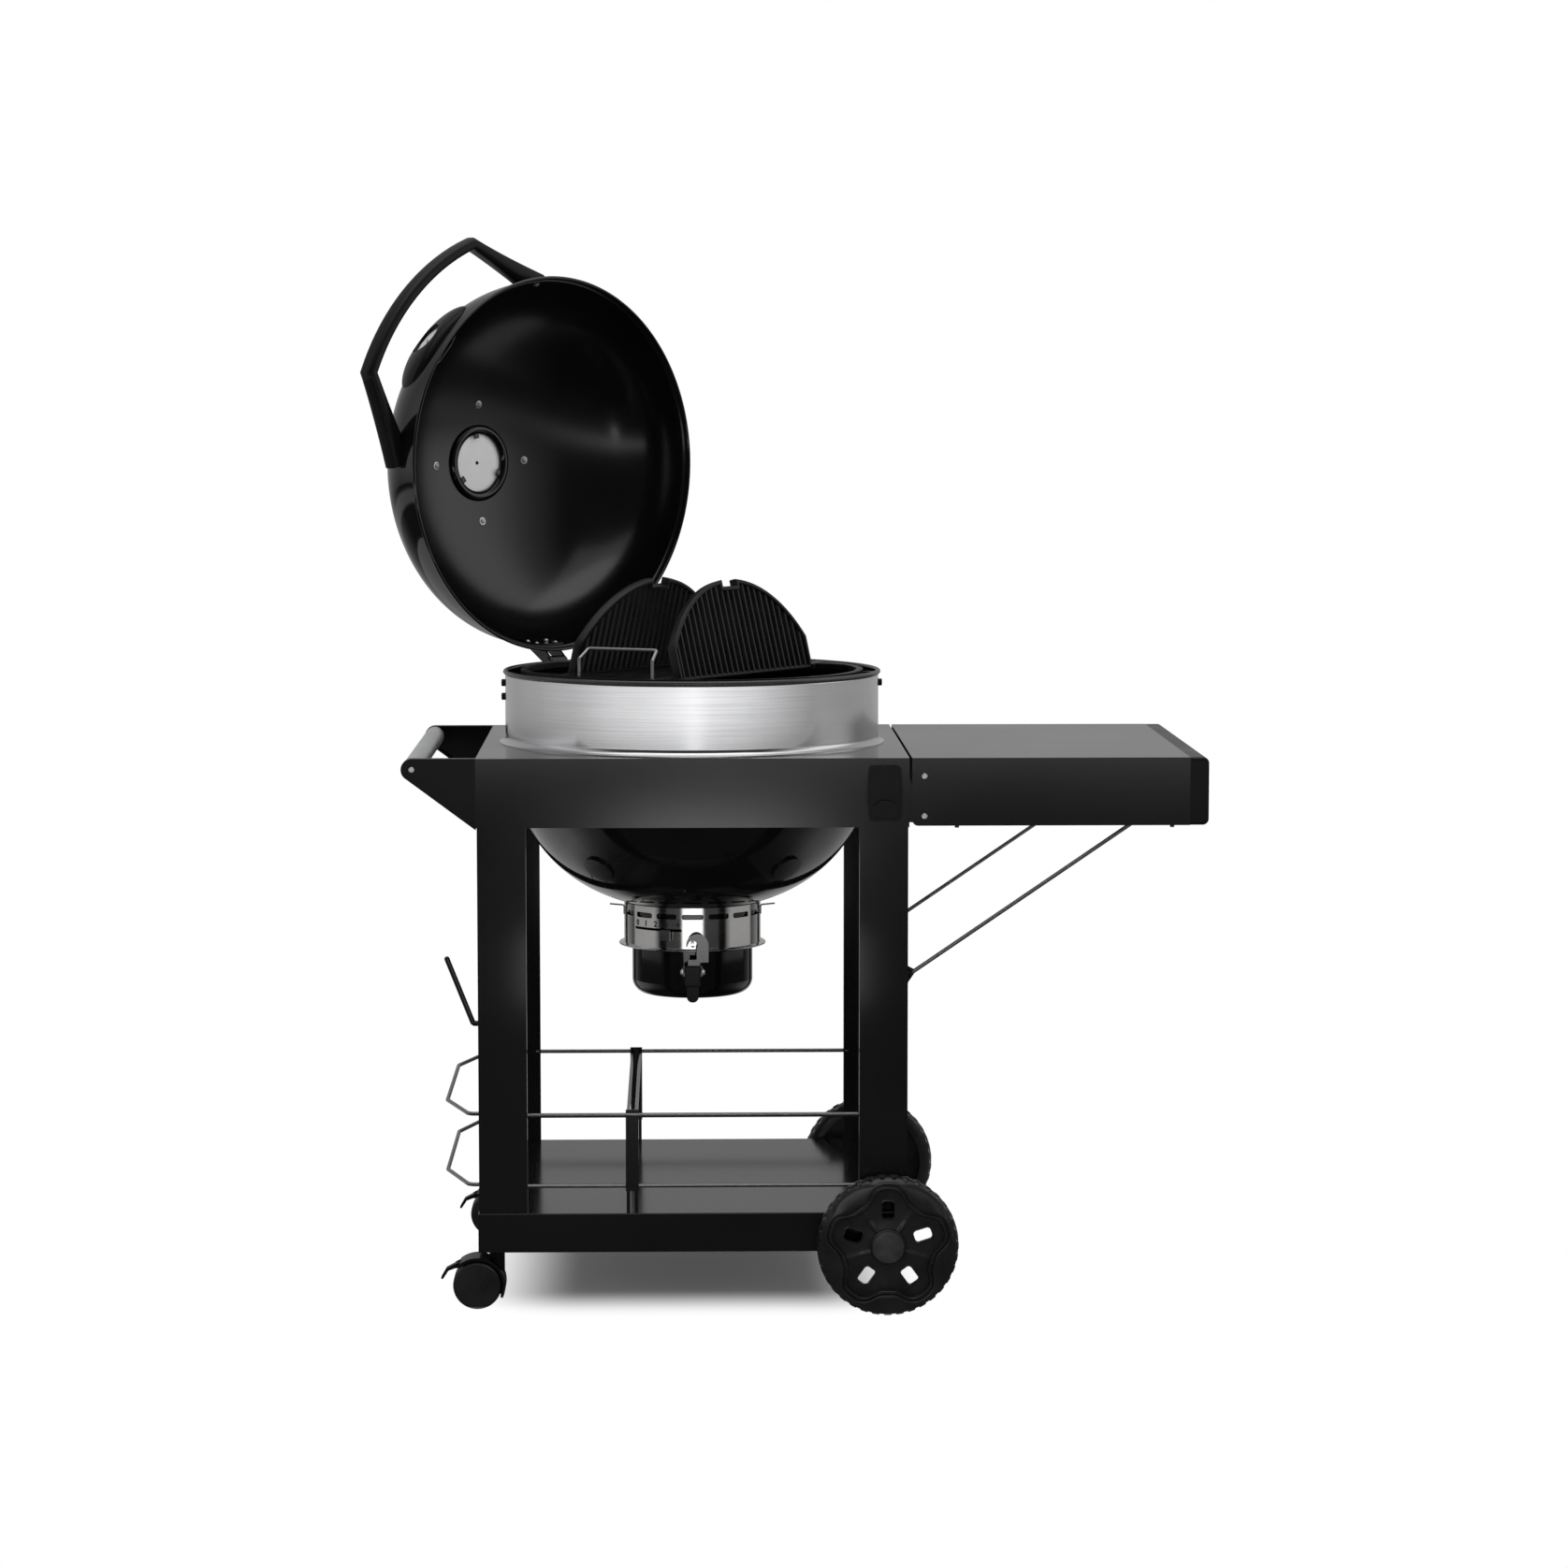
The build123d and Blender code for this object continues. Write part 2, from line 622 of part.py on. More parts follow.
def star_outline():
    """A smooth five-lobed outline, its first lobe at the top."""
    middle = (STAR_TIP_R + STAR_VALLEY_R) / 2
    swing = (STAR_TIP_R - STAR_VALLEY_R) / 2
    points = []
    for step in range(30):
        angle = math.radians(90 + step * 12)
        wave = math.cos(5 * (angle - math.pi / 2))
        radius = middle + swing * (1.5 * wave - 0.5 * wave**3)
        points.append((radius * math.cos(angle), radius * math.sin(angle)))
    return make_face(Spline(*points, periodic=True))


def wheel_blank():
    """One wheel about Z: its outer face at Z = WHEEL_WIDTH."""
    wheel = fillet(extrude(Circle(WHEEL_R), WHEEL_WIDTH).edges(), 5.0)
    lug_room = (WHEEL_R - LUG_DEPTH, WHEEL_R + 1)
    grooves = []
    for i in range(LUGS):
        groove = box(lug_room[0], lug_room[1], -2.6, 2.6, -1, WHEEL_WIDTH + 1)
        grooves.append(Rot(0, 0, i * 360 / LUGS) * groove)
    wheel -= grooves
    floor = WHEEL_WIDTH - STAR_DEPTH
    wheel -= Pos(0, 0, floor) * extrude(star_outline(), STAR_DEPTH)
    wheel += Pos(0, 0, floor) * extrude(Circle(HUB_R + 3), STAR_DEPTH - 3)
    back = extrude(Circle(STAR_TIP_R) - Circle(HUB_R + 6), floor - 10)
    wheel -= back
    for i in range(5):
        slot = RectangleRounded(WINDOW_LONG, WINDOW_WIDE, 4)
        wheel -= Rot(0, 0, 90 + i * 72) * Pos(WINDOW_R, 0, 0) * extrude(slot, WHEEL_WIDTH)
    top = WHEEL_WIDTH - 3
    wheel -= extrude(Circle(AXLE_R + RUNNING), WHEEL_WIDTH)
    return wheel - Pos(0, 0, top - HUB_POCKET) * extrude(Circle(NUT_R + 2), HUB_POCKET)


def hub_cap_blank():
    """The domed cap over the hub pocket."""
    rise, edge = 6.6, 2.5
    ball_r = (HUB_R**2 + (rise - edge) ** 2) / (2 * (rise - edge))
    blank = extrude(Circle(HUB_R), rise) & Pos(0, 0, rise - ball_r) * Sphere(ball_r)
    return Pos(0, 0, WHEEL_WIDTH - 3) * blank


def on_side(side, solid):
    """Turn something made about +Z to stand on the right-hand axle at the front or back."""
    place = Plane(origin=(WHEEL_X, side * WHEEL_Y, WHEEL_R), x_dir=(1, 0, 0), z_dir=(0, side, 0))
    turn = Rot(0, 0, 0) if side < 0 else Rot(0, 0, 180)
    return place.location * turn * solid


def axle():
    """The steel axle with a push nut at each end."""
    reach = WHEEL_Y + WHEEL_WIDTH - 3 - HUB_POCKET + NUT_THICK + 2
    bar = rod((WHEEL_X, -reach, WHEEL_R), (WHEEL_X, reach, WHEEL_R), AXLE_R)
    seat = WHEEL_Y + WHEEL_WIDTH - 3 - HUB_POCKET + GAP
    for side in (-1, 1):
        start = (WHEEL_X, side * seat, WHEEL_R)
        bar += rod(start, (WHEEL_X, side * (seat + NUT_THICK), WHEEL_R), NUT_R)
        collar = WHEEL_Y - GAP
        start = (WHEEL_X, side * collar, WHEEL_R)
        bar += rod(start, (WHEEL_X, side * (collar - NUT_THICK), WHEEL_R), NUT_R)
    return bar


def axle_bracket(side):
    """A plate behind the pan's skirt that carries the axle."""
    y0 = side * POST_Y
    y1 = side * (POST_Y - EAR_THICK)
    low, high = PAN_TOP_Z - PAN_HEIGHT + SHEET, PAN_TOP_Z - SHEET
    plate = box(WHEEL_X - 22, WHEEL_X + 22, y0, y1, low, high)
    return plate - rod((WHEEL_X, y0 + side, WHEEL_R), (WHEEL_X, y1 - side, WHEEL_R), AXLE_R)


def caster_socket(side):
    """A flanged sleeve under the pan that takes a caster's stem."""
    y = side * CASTER_Y
    low, high = BOSS_TOP_Z + 1, PAN_TOP_Z - SHEET
    sleeve = Pos(CASTER_X, y, low) * extrude(Circle(BOSS_R - 1), high - low)
    flange = box(CASTER_X - 22, CASTER_X + 40, y - 26, y + 26, high - 2, high)
    hole = Pos(CASTER_X, y, low) * extrude(Circle(STEM_R + RUNNING), BOSS_TOP_Z + STEM_LENGTH - low + 2)
    return sleeve + flange - hole


def caster_hood(side):
    """The caster's body: web, hood, boss, stem and the pin its wheels turn on."""
    y = side * CASTER_Y
    x = CASTER_X - CASTER_TRAIL
    inner = CASTER_R + HOOD_GAP
    outer = inner + HOOD_WALL
    width = CASTER_WEB + 2 * CASTER_TREAD + 4
    plane = Plane(origin=(x, y, CASTER_R), x_dir=(1, 0, 0), z_dir=(0, -1, 0))
    ring = Circle(outer) - Circle(inner)
    wedge = make_face(Polyline((0, 0), polar(99, -26), polar(120, 60), polar(120, 128), close=True))
    hood = extrude(plane * (ring & wedge), width / 2, both=True)
    web = extrude(plane * (Circle(outer - 1) & wedge), CASTER_WEB / 2, both=True)
    web += extrude(plane * Circle(HUB_R / 2), CASTER_WEB / 2, both=True)
    boss = Pos(CASTER_X, y, CASTER_R) * extrude(Circle(BOSS_R), BOSS_TOP_Z - CASTER_R)
    boss -= extrude(plane * Circle(inner), width / 2, both=True)
    stem = Pos(CASTER_X, y, BOSS_TOP_Z) * extrude(Circle(STEM_R), STEM_LENGTH)
    reach = CASTER_WEB / 2 + CASTER_TREAD - 3
    pin = extrude(plane * Circle(4), reach, both=True)
    body = hood + web + boss + stem + pin
    for y_side in (-1, 1):
        ear = plane.offset(y_side * (PEDAL_WIDTH / 2 + GAP)) * Pos(*PEDAL_AT) * Circle(3.6)
        body += extrude(ear, y_side * 2.5)
        bridge = make_hull((Pos(*PEDAL_AT) * Circle(3.6)).edges() + (Pos(*polar(inner + 2, 118)) * Circle(1.9)).edges())
        body += extrude(plane.offset(y_side * (PEDAL_WIDTH / 2 + GAP)) * bridge, y_side * 2.5)
    return body + extrude(plane * Pos(*PEDAL_AT) * Circle(1.6), PEDAL_WIDTH / 2 + 2, both=True)


def polar(radius, degrees):
    """A flat point from its distance and direction."""
    return (radius * math.cos(math.radians(degrees)), radius * math.sin(math.radians(degrees)))


PEDAL_AT = polar(CASTER_R + HOOD_GAP + 3.4, 138)


def pedal(side):
    """The brake pedal on its own small pin at the hood's open end."""
    plane = Plane(
        origin=(CASTER_X - CASTER_TRAIL, side * CASTER_Y, CASTER_R), x_dir=(1, 0, 0), z_dir=(0, -1, 0)
    )
    far = (PEDAL_AT[0] - PEDAL_LENGTH * 0.72, PEDAL_AT[1] - PEDAL_LENGTH * 0.62)
    middle = (PEDAL_AT[0] - PEDAL_LENGTH * 0.46, PEDAL_AT[1] - PEDAL_LENGTH * 0.2)
    knuckle = Pos(*PEDAL_AT) * Circle(3.2)
    arm = make_hull(knuckle.edges() + (Pos(*middle) * Circle(PEDAL_THICK / 2)).edges())
    tip = make_hull(
        (Pos(*middle) * Circle(PEDAL_THICK / 2)).edges() + (Pos(*far) * Circle(PEDAL_THICK * 0.4)).edges()
    )
    outline = arm + tip - Pos(*PEDAL_AT) * Circle(1.6 + RUNNING)
    return extrude(plane * outline, PEDAL_WIDTH / 2, both=True)


def caster_wheels(side):
    """The two wheels of one caster, each blind-bored from the web's side."""
    wheels = []
    for wheel_side in (-1, 1):
        start = CASTER_WEB / 2 + GAP
        y = side * CASTER_Y + wheel_side * start
        plane = Plane(
            origin=(CASTER_X - CASTER_TRAIL, y, CASTER_R), x_dir=(1, 0, 0), z_dir=(0, wheel_side, 0)
        )
        disc = extrude(Circle(CASTER_R), CASTER_TREAD)
        disc = fillet(disc.edges().sort_by(Axis.Z)[-1], 5.0)
        disc = fillet(disc.edges().sort_by(Axis.Z)[0], 2.0)
        disc -= extrude(Circle(4 + RUNNING), CASTER_TREAD - 3 + GAP)
        wheels.append(plane.location * disc)
    return wheels


def build_running_gear():
    """The axle with its two wheels at the right, the two casters at the left."""
    for name, side in (("front", -1), ("back", 1)):
        keep("wheel_" + name, on_side(side, wheel_blank()))
        keep("hub_cap_" + name, on_side(side, hub_cap_blank()))
        keep("caster_hood_" + name, caster_hood(side))
        keep("caster_wheels_" + name, *caster_wheels(side))
        keep("caster_pedal_" + name, pedal(side))
    keep("axle", axle())
    keep("foot_brackets", *[make(side) for make in (axle_bracket, caster_socket) for side in (-1, 1)])


# ---------------------------------------------------------------- kettle


def round_profile(radius, depth, top, fullness):
    """Points of a superellipse quarter, from the wall at the top to the axis at the bottom."""
    points = []
    for step in range(11):
        angle = math.radians(step * 9)
        r = radius * max(math.cos(angle), 0) ** (2 / fullness)
        z = top - depth * math.sin(angle) ** (2 / fullness)
        points.append((r, 0, z))
    points[-1] = (0, 0, top - depth)
    return points


def bowl_radius(z, wall=0.0):
    """Radius of the bowl's outside, or of its inside with its wall given, at a height."""
    drop = max(BOWL_ROUND_Z - z, 0) / (BOWL_DEPTH - wall)
    return (BOWL_R - wall) * (1 - drop**BOWL_FULLNESS) ** (1 / BOWL_FULLNESS)


def bowl_height(r, wall=0.0):
    """Height of the bowl's outside, or inside, at a radius."""
    share = r / (BOWL_R - wall)
    return BOWL_ROUND_Z - (BOWL_DEPTH - wall) * (1 - share**BOWL_FULLNESS) ** (1 / BOWL_FULLNESS)


def dome_shell(radius, depth, wall, join, mouth, fullness):
    """A revolved shell: a rounded bottom below the join, a straight wall from there to the mouth."""
    down, level = (0, 0, -1), (-1, 0, 0)
    outer = Spline(*round_profile(radius, depth, join, fullness), tangents=(down, level))
    inner_points = round_profile(radius - wall, depth - wall, join, fullness)
    inner = Spline(*inner_points, tangents=(down, level))
    lines = [
        Line((radius, 0, join), (radius, 0, mouth)),
        Line((radius, 0, mouth), (radius - wall, 0, mouth)),
        Line((radius - wall, 0, mouth), (radius - wall, 0, join)),
        Line((0, 0, join - depth), (0, 0, join - depth + wall)),
    ]
    return revolve(make_face([outer, inner] + lines), Axis.Z)


def sector(inner_r, outer_r, middle, width, low, high):
    """A ring segment between two heights, centred on an azimuth."""
    a0 = middle - width / 2
    outer = CenterArc((0, 0), outer_r, a0, width)
    inner = CenterArc((0, 0), inner_r, a0, width)
    sides = [Line(inner @ 0, outer @ 0), Line(inner @ 1, outer @ 1)]
    return Pos(0, 0, low) * extrude(make_face([outer, inner] + sides), high - low)


def around(azimuth, solid):
    """Turn something made on the +X side to an azimuth."""
    return Rot(0, 0, azimuth) * solid


COLLAR_IN_R = BOWL_R + GAP
COLLAR_OUT_R = COLLAR_IN_R + COLLAR_THICK
COLLAR_TOP_Z = BOWL_TOP_Z - RIM_R - GAP
BOLTS = [(0.0, BOWL_TOP_Z - 18), (180.0, BOWL_TOP_Z - 18), (180.0, BOWL_TOP_Z - 39)]
BOLT_R = 3.0
BOLT_HEAD_R = 5.5
BOLT_HEAD_H = 6.0


def bolt_holes(inner, outer):
    """The holes the collar bolts pass through."""
    return [around(az, rod((inner, 0, z), (outer, 0, z), BOLT_R)) for az, z in BOLTS]


def bowl():
    """The enamelled bowl with its rolled rim, ash vents and shaft hole."""
    shell = dome_shell(BOWL_R, BOWL_DEPTH, BOWL_WALL, BOWL_ROUND_Z, BOWL_TOP_Z, BOWL_FULLNESS)
    shell += Pos(0, 0, BOWL_TOP_Z) * Torus(BOWL_R + 1.5, RIM_R)
    low, high = BOWL_ROUND_Z - BOWL_DEPTH - 1, BOWL_ROUND_Z - BOWL_DEPTH + 20
    for i in range(3):
        shell -= sector(VENT_IN_R, VENT_OUT_R, 30 + i * 120, VENT_ANGLE, low, high)
    shell -= rod((0, 0, low), (0, 0, high), SHAFT_R + RUNNING)
    return shell - bolt_holes(BOWL_R - 10, BOWL_R + 1)


def collar():
    """The brushed steel band round the bowl, flared where it sits on the table."""
    knee = TABLE_Z + COLLAR_THICK + COLLAR_FLARE
    foot_r = COLLAR_OUT_R + COLLAR_FLARE
    slant = math.sqrt(0.5)
    near, far = COLLAR_FLARE * slant, (COLLAR_FLARE + COLLAR_THICK) * slant
    outer = ThreePointArc(
        (COLLAR_OUT_R, 0, knee), (foot_r - near, 0, knee - near), (foot_r, 0, knee - COLLAR_FLARE)
    )
    inner = ThreePointArc((COLLAR_IN_R, 0, knee), (foot_r - far, 0, knee - far), (foot_r, 0, TABLE_Z))
    lines = [
        Line((COLLAR_OUT_R, 0, COLLAR_TOP_Z), (COLLAR_OUT_R, 0, knee)),
        Line((foot_r, 0, knee - COLLAR_FLARE), (foot_r, 0, TABLE_Z)),
        Line((COLLAR_IN_R, 0, knee), (COLLAR_IN_R, 0, COLLAR_TOP_Z)),
        Line((COLLAR_IN_R, 0, COLLAR_TOP_Z), (COLLAR_OUT_R, 0, COLLAR_TOP_Z)),
    ]
    band = revolve(make_face([outer, inner] + lines), Axis.Z)
    return band - bolt_holes(COLLAR_IN_R - 1, COLLAR_OUT_R + 1)


def collar_bolts():
    """The bolts that clamp the band to the bowl."""
    bolts = []
    for azimuth, z in BOLTS:
        head = rod((COLLAR_OUT_R, 0, z), (COLLAR_OUT_R + BOLT_HEAD_H, 0, z), BOLT_HEAD_R)
        head = fillet(head.edges().sort_by(Axis.X)[-1], 1.5)
        bolts.append(around(azimuth, head + rod((BOWL_R - 8, 0, z), (COLLAR_OUT_R, 0, z), BOLT_R)))
    return bolts


DISC_AT = (-130.0, -50.0, 90.0)
DISC_R = 24.0
DISC_SPREAD_R = 218.0
DISC_THICK = 4.0


def support_discs():
    """Round pressed bosses on the outside of the bowl, one under each of its mounts."""
    z = bowl_height(DISC_SPREAD_R)
    rise = bowl_height(DISC_SPREAD_R + 1) - bowl_height(DISC_SPREAD_R - 1)
    slope = math.degrees(math.atan2(rise, 2))
    blank = extrude(Circle(DISC_R), 3 * DISC_THICK, both=True)
    outer = DISC_THICK + GAP
    skin = dome_shell(
        BOWL_R + outer, BOWL_DEPTH + outer, DISC_THICK, BOWL_ROUND_Z, BOWL_ROUND_Z + 1, BOWL_FULLNESS
    )
    disc = (Pos(DISC_SPREAD_R, 0, z) * Rot(0, -slope, 0) * blank) & skin
    return [around(azimuth, disc) for azimuth in DISC_AT]


GRATE_TOP_Z = BOWL_TOP_Z + RIM_R
GRATE_LOW_Z = GRATE_TOP_Z - GRATE_THICK
HINGE_AXIS_Z = GRATE_TOP_Z - GRATE_THICK / 2
BAR_R = 4.0
TRUNNION_R = 2.5
TRUNNION_LONG = 8.0
STRIP_WIDTH = 16.0
RING_WIDTH = 10.0


def grate_brackets():
    """Four welded steps inside the bowl that carry the cooking grate."""
    inner = BOWL_R - BOWL_WALL
    top = GRATE_LOW_Z - GAP
    reach = GRATE_R - RING_WIDTH
    wedge = make_face(Polyline((reach, -8, top), (inner + 1, -8, top), (inner + 1, -8, top - 26), close=True))
    step = extrude(wedge, 16, dir=(0, 1, 0))
    core = Pos(0, 0, top - 30) * extrude(Circle(inner), 40)
    return [around(azimuth, step) & core for azimuth in (10, 100, 190, 280)]


def charcoal_grate():
    """Parallel wires inside a ring, resting on the bowl's narrowing wall."""
    ring_r = bowl_radius(CHARCOAL_Z - CHARCOAL_WIRE_R, BOWL_WALL) - CHARCOAL_WIRE_R - GAP
    ring = Circle(ring_r + CHARCOAL_WIRE_R) - Circle(ring_r - CHARCOAL_WIRE_R)
    grate = extrude(ring, CHARCOAL_WIRE_R, both=True)
    pitch = 2 * ring_r / (CHARCOAL_BARS + 1)
    for i in range(CHARCOAL_BARS):
        y = -ring_r + (i + 1) * pitch
        half = math.sqrt(ring_r**2 - y**2)
        grate += rod((-half, y, 0), (half, y, 0), CHARCOAL_WIRE_R * 0.75)
    return Pos(0, 0, CHARCOAL_Z) * grate


def on_grate(solid):
    """Turn something made with its hinge lines along Y to the grate's real direction."""
    return Rot(0, 0, HINGE_TURN - 90) * solid


def cooking_grate():
    """The cast grate: ring, hinge strips, fixed ribs and the eyes the flaps turn in."""
    inner_r = GRATE_R - RING_WIDTH
    disc = Circle(inner_r + RING_WIDTH / 2)
    edge = CHORD - BAR_R - GAP * 2
    plan = Circle(GRATE_R) - Circle(inner_r)
    strip = Rectangle(STRIP_WIDTH, 2 * GRATE_R)
    for side in (-1, 1):
        plan += (Pos(side * (edge - STRIP_WIDTH / 2), 0) * strip) & disc
    pitch = FLAP_LENGTH / (FLAP_RIBS + 1)
    count = int(inner_r / pitch)
    span = 2 * (edge - STRIP_WIDTH / 2)
    for i in range(-count, count + 1):
        plan += (Pos(0, i * pitch) * Rectangle(span, RIB)) & disc
    eye_y = FLAP_LENGTH / 2 + GAP * 3 + TRUNNION_LONG / 2
    for side in (-1, 1):
        for end in (-1, 1):
            plan += Pos(side * (CHORD - 4), end * eye_y) * Rectangle(2 * BAR_R + 12, TRUNNION_LONG)
            for extra in (TRUNNION_LONG + 10, TRUNNION_LONG + 28):
                rib = Pos(side * (edge + 60), end * (eye_y + extra)) * Rectangle(140, RIB)
                plan += rib & disc
    frame = Pos(0, 0, GRATE_LOW_Z) * extrude(plan, GRATE_THICK)
    for side in (-1, 1):
        start = (side * CHORD, -eye_y - TRUNNION_LONG, HINGE_AXIS_Z)
        end = (side * CHORD, eye_y + TRUNNION_LONG, HINGE_AXIS_Z)
        frame -= rod(start, end, TRUNNION_R + RUNNING)
    return on_grate(frame)


def flap(side):
    """A hinged flap of the grate, standing: built flat, then turned up past the upright."""
    half = FLAP_LENGTH / 2
    rim = 7.0
    arc = ThreePointArc((FLAP_SIDE, -half), (FLAP_HEIGHT, 0), (FLAP_SIDE, half))
    sides = Polyline((FLAP_SIDE, half), (0, half), (0, -half), (FLAP_SIDE, -half))
    outline = make_face([arc] + sides.edges())
    inner = offset(outline, -rim, kind=Kind.INTERSECTION)
    plan = outline - inner
    pitch = FLAP_LENGTH / (FLAP_RIBS + 1)
    for i in range(1, FLAP_RIBS + 1):
        rib = Pos(FLAP_HEIGHT / 2, -half + i * pitch) * Rectangle(FLAP_HEIGHT, RIB)
        plan += rib & outline
    notch = Pos(FLAP_HEIGHT, 0) * Rectangle(24, FLAP_NOTCH)
    frame = Pos(FLAP_HEIGHT - 14, 0) * Rectangle(10, FLAP_NOTCH + 2 * rim)
    plan = plan + frame - notch
    solid = extrude(plan, RIB / 2, both=True)
    solid += rod((0, -half, 0), (0, half, 0), BAR_R)
    reach = half + GAP * 3 + TRUNNION_LONG
    solid += rod((0, -reach, 0), (0, reach, 0), TRUNNION_R)
    standing = Rot(0, -(90 + FLAP_LEAN), 0) * solid
    if side < 0:
        standing = Rot(0, 0, 180) * standing
    return on_grate(Pos(side * CHORD, 0, HINGE_AXIS_Z) * standing)


HANDLE_AT = 243.0
BAIL_HALF = 61.0
BAIL_WIRE_R = 2.6


def grate_handles():
    """Two bent wire bails on the grate's ring, leaning in at the top."""
    r = math.sqrt((GRATE_R - RING_WIDTH / 2) ** 2 - BAIL_HALF**2)
    knee, top = GRATE_TOP_Z + 28, GRATE_TOP_Z + 42
    half = [(r, -BAIL_HALF, GRATE_TOP_Z), (r, -BAIL_HALF, knee), (r - 22, -BAIL_HALF + 4, top)]
    points = half + [(x, -y, z) for x, y, z in reversed(half)]
    bail = pipe(points, BAIL_WIRE_R * 1.6, BAIL_WIRE_R)
    return [around(HANDLE_AT, bail), around(HANDLE_AT - 180, bail)]


ASH_IN_R = ASH_R - ASH_SHEET


def ash_collar():
    """The polished ring under the bowl, with air slots, the scale slot, a flange and a stud."""
    top = bowl_height(ASH_IN_R - 1) - GAP
    band = Pos(0, 0, ASH_LOW_Z) * extrude(Circle(ASH_R) - Circle(ASH_IN_R), top - ASH_LOW_Z)
    flange = Pos(0, 0, ASH_LOW_Z) * extrude(Circle(ASH_FLANGE_R) - Circle(ASH_IN_R), ASH_SHEET)
    ring = band + flange
    slot = RectangleRounded(ASH_SLOT_LONG, ASH_SLOT_H, ASH_SLOT_H * 0.45)
    for i in range(ASH_SLOTS):
        plane = Plane(origin=(ASH_IN_R - 6, 0, ASH_SLOT_Z), x_dir=(0, 1, 0), z_dir=(1, 0, 0))
        ring -= around(270 + i * 360 / ASH_SLOTS, extrude(plane * slot, 12))
    middle, width = (LEVER_FROM + LEVER_TO) / 2, LEVER_TO - LEVER_FROM
    ring -= sector(ASH_IN_R - 1, ASH_R + 1, middle, width, LEVER_Z - 2, LEVER_Z + 2)
    return ring + rod((0, -ASH_IN_R - 0.3, STUD_Z), (0, -LATCH_OUT - 1.2, STUD_Z), 2.5)


def catch_wires():
    """Two springy wires that hold the ring up to the bowl at its left and right."""
    z = bowl_height(ASH_R) - 6
    y, wire_r = -18.0, 1.2
    x = math.sqrt((ASH_R + wire_r + GAP / 2) ** 2 - y**2)
    wires = []
    for side in (-1, 1):
        points = [(side * x, y, z - 14), (side * x, y, z), (side * (x + 22), y, z + 2)]
        wires.append(pipe(points, 3.0, wire_r))
    return wires


def sweeper():
    """Shaft, three blades over the ash vents, and the lever that comes out of the scale slot."""
    blade_low = bowl_height(VENT_OUT_R + 3, BOWL_WALL) + GAP
    shaft = rod((0, 0, LEVER_Z - 12), (0, 0, blade_low + 6), SHAFT_R)
    for i in range(3):
        blade = Rot(0, 0, 90 + i * 120) * Pos(VENT_OUT_R / 2, 0, blade_low) * extrude(
            RectangleRounded(VENT_OUT_R + 4, 26, 8), 2.0
        )
        shaft += blade
    arm = Pos(0, 0, LEVER_Z - 1) * extrude(Pos(56, 0) * Rectangle(112, 9), 2.0)
    tab = box(110, 113, -8, 8, LEVER_Z - 15, LEVER_Z + 1)
    return shaft + around(LEVER_AT, arm + tab)


ASH_PAN_TOP_Z = ASH_LOW_Z - GAP


def ash_pan():
    """The enamelled ash bucket with its rolled-out rim and the latch ears."""
    low = ASH_PAN_TOP_Z - ASH_PAN_DEPTH
    pan = Pos(0, 0, low) * extrude(Circle(ASH_PAN_R), ASH_PAN_DEPTH)
    pan = fillet(pan.edges().sort_by(Axis.Z)[0], ASH_PAN_ROUND)
    inner = Pos(0, 0, low + ASH_PAN_WALL) * extrude(Circle(ASH_PAN_R - ASH_PAN_WALL), ASH_PAN_DEPTH)
    inner = fillet(inner.edges().sort_by(Axis.Z)[0], ASH_PAN_ROUND - ASH_PAN_WALL)
    rim_r = ASH_R
    rim = Pos(0, 0, ASH_PAN_TOP_Z - ASH_PAN_WALL) * extrude(Circle(rim_r) - Circle(ASH_PAN_R - 1), ASH_PAN_WALL)
    pan = pan - inner + rim
    for side in (-1, 1):
        x0, x1 = side * (GRIP_WIDTH / 2 + GAP), side * (GRIP_WIDTH / 2 + GAP + 2)
        ear = box(x0, x1, -LATCH_OUT - 3, -ASH_PAN_R + 2, LATCH_PIVOT_Z - 6, LATCH_PIVOT_Z + 6)
        pan += ear - Pos(0, 0, low) * extrude(Circle(ASH_PAN_R - ASH_PAN_WALL / 2), ASH_PAN_DEPTH)
    pin_reach = GRIP_WIDTH / 2 + 3
    y = -LATCH_OUT
    return pan + rod((-pin_reach, y, LATCH_PIVOT_Z), (pin_reach, y, LATCH_PIVOT_Z), LATCH_PIN_R)


GRIP_WIDTH = 24.0
LATCH_PIN_R = 1.6
BLADE_THICK = 2.0


def latch_grip():
    """The moulded grip that turns on the pan's ears."""
    y = -LATCH_OUT
    body = box(-GRIP_WIDTH / 2, GRIP_WIDTH / 2, y - 5, y + 4, LATCH_PIVOT_Z - 26, LATCH_PIVOT_Z + 6)
    body = fillet(body.edges(), 2.0)
    tongue = box(-9, 9, y - 4, y + 1, LATCH_PIVOT_Z - 50, LATCH_PIVOT_Z - 24)
    tongue = fillet(tongue.edges().filter_by(Axis.Y).group_by(Axis.Z)[0], 8.5)
    grip = body + tongue
    grip -= rod((-20, y, LATCH_PIVOT_Z), (20, y, LATCH_PIVOT_Z), LATCH_PIN_R + RUNNING)
    x0, x1 = BLADE_FOOT
    return grip - box(x0, x1, y - BLADE_THICK, y, LATCH_PIVOT_Z + 3, LATCH_PIVOT_Z + 7)


BLADE_FOOT = (-7.0, 11.0)
BLADE_STRIP = (6.0, 24.0)


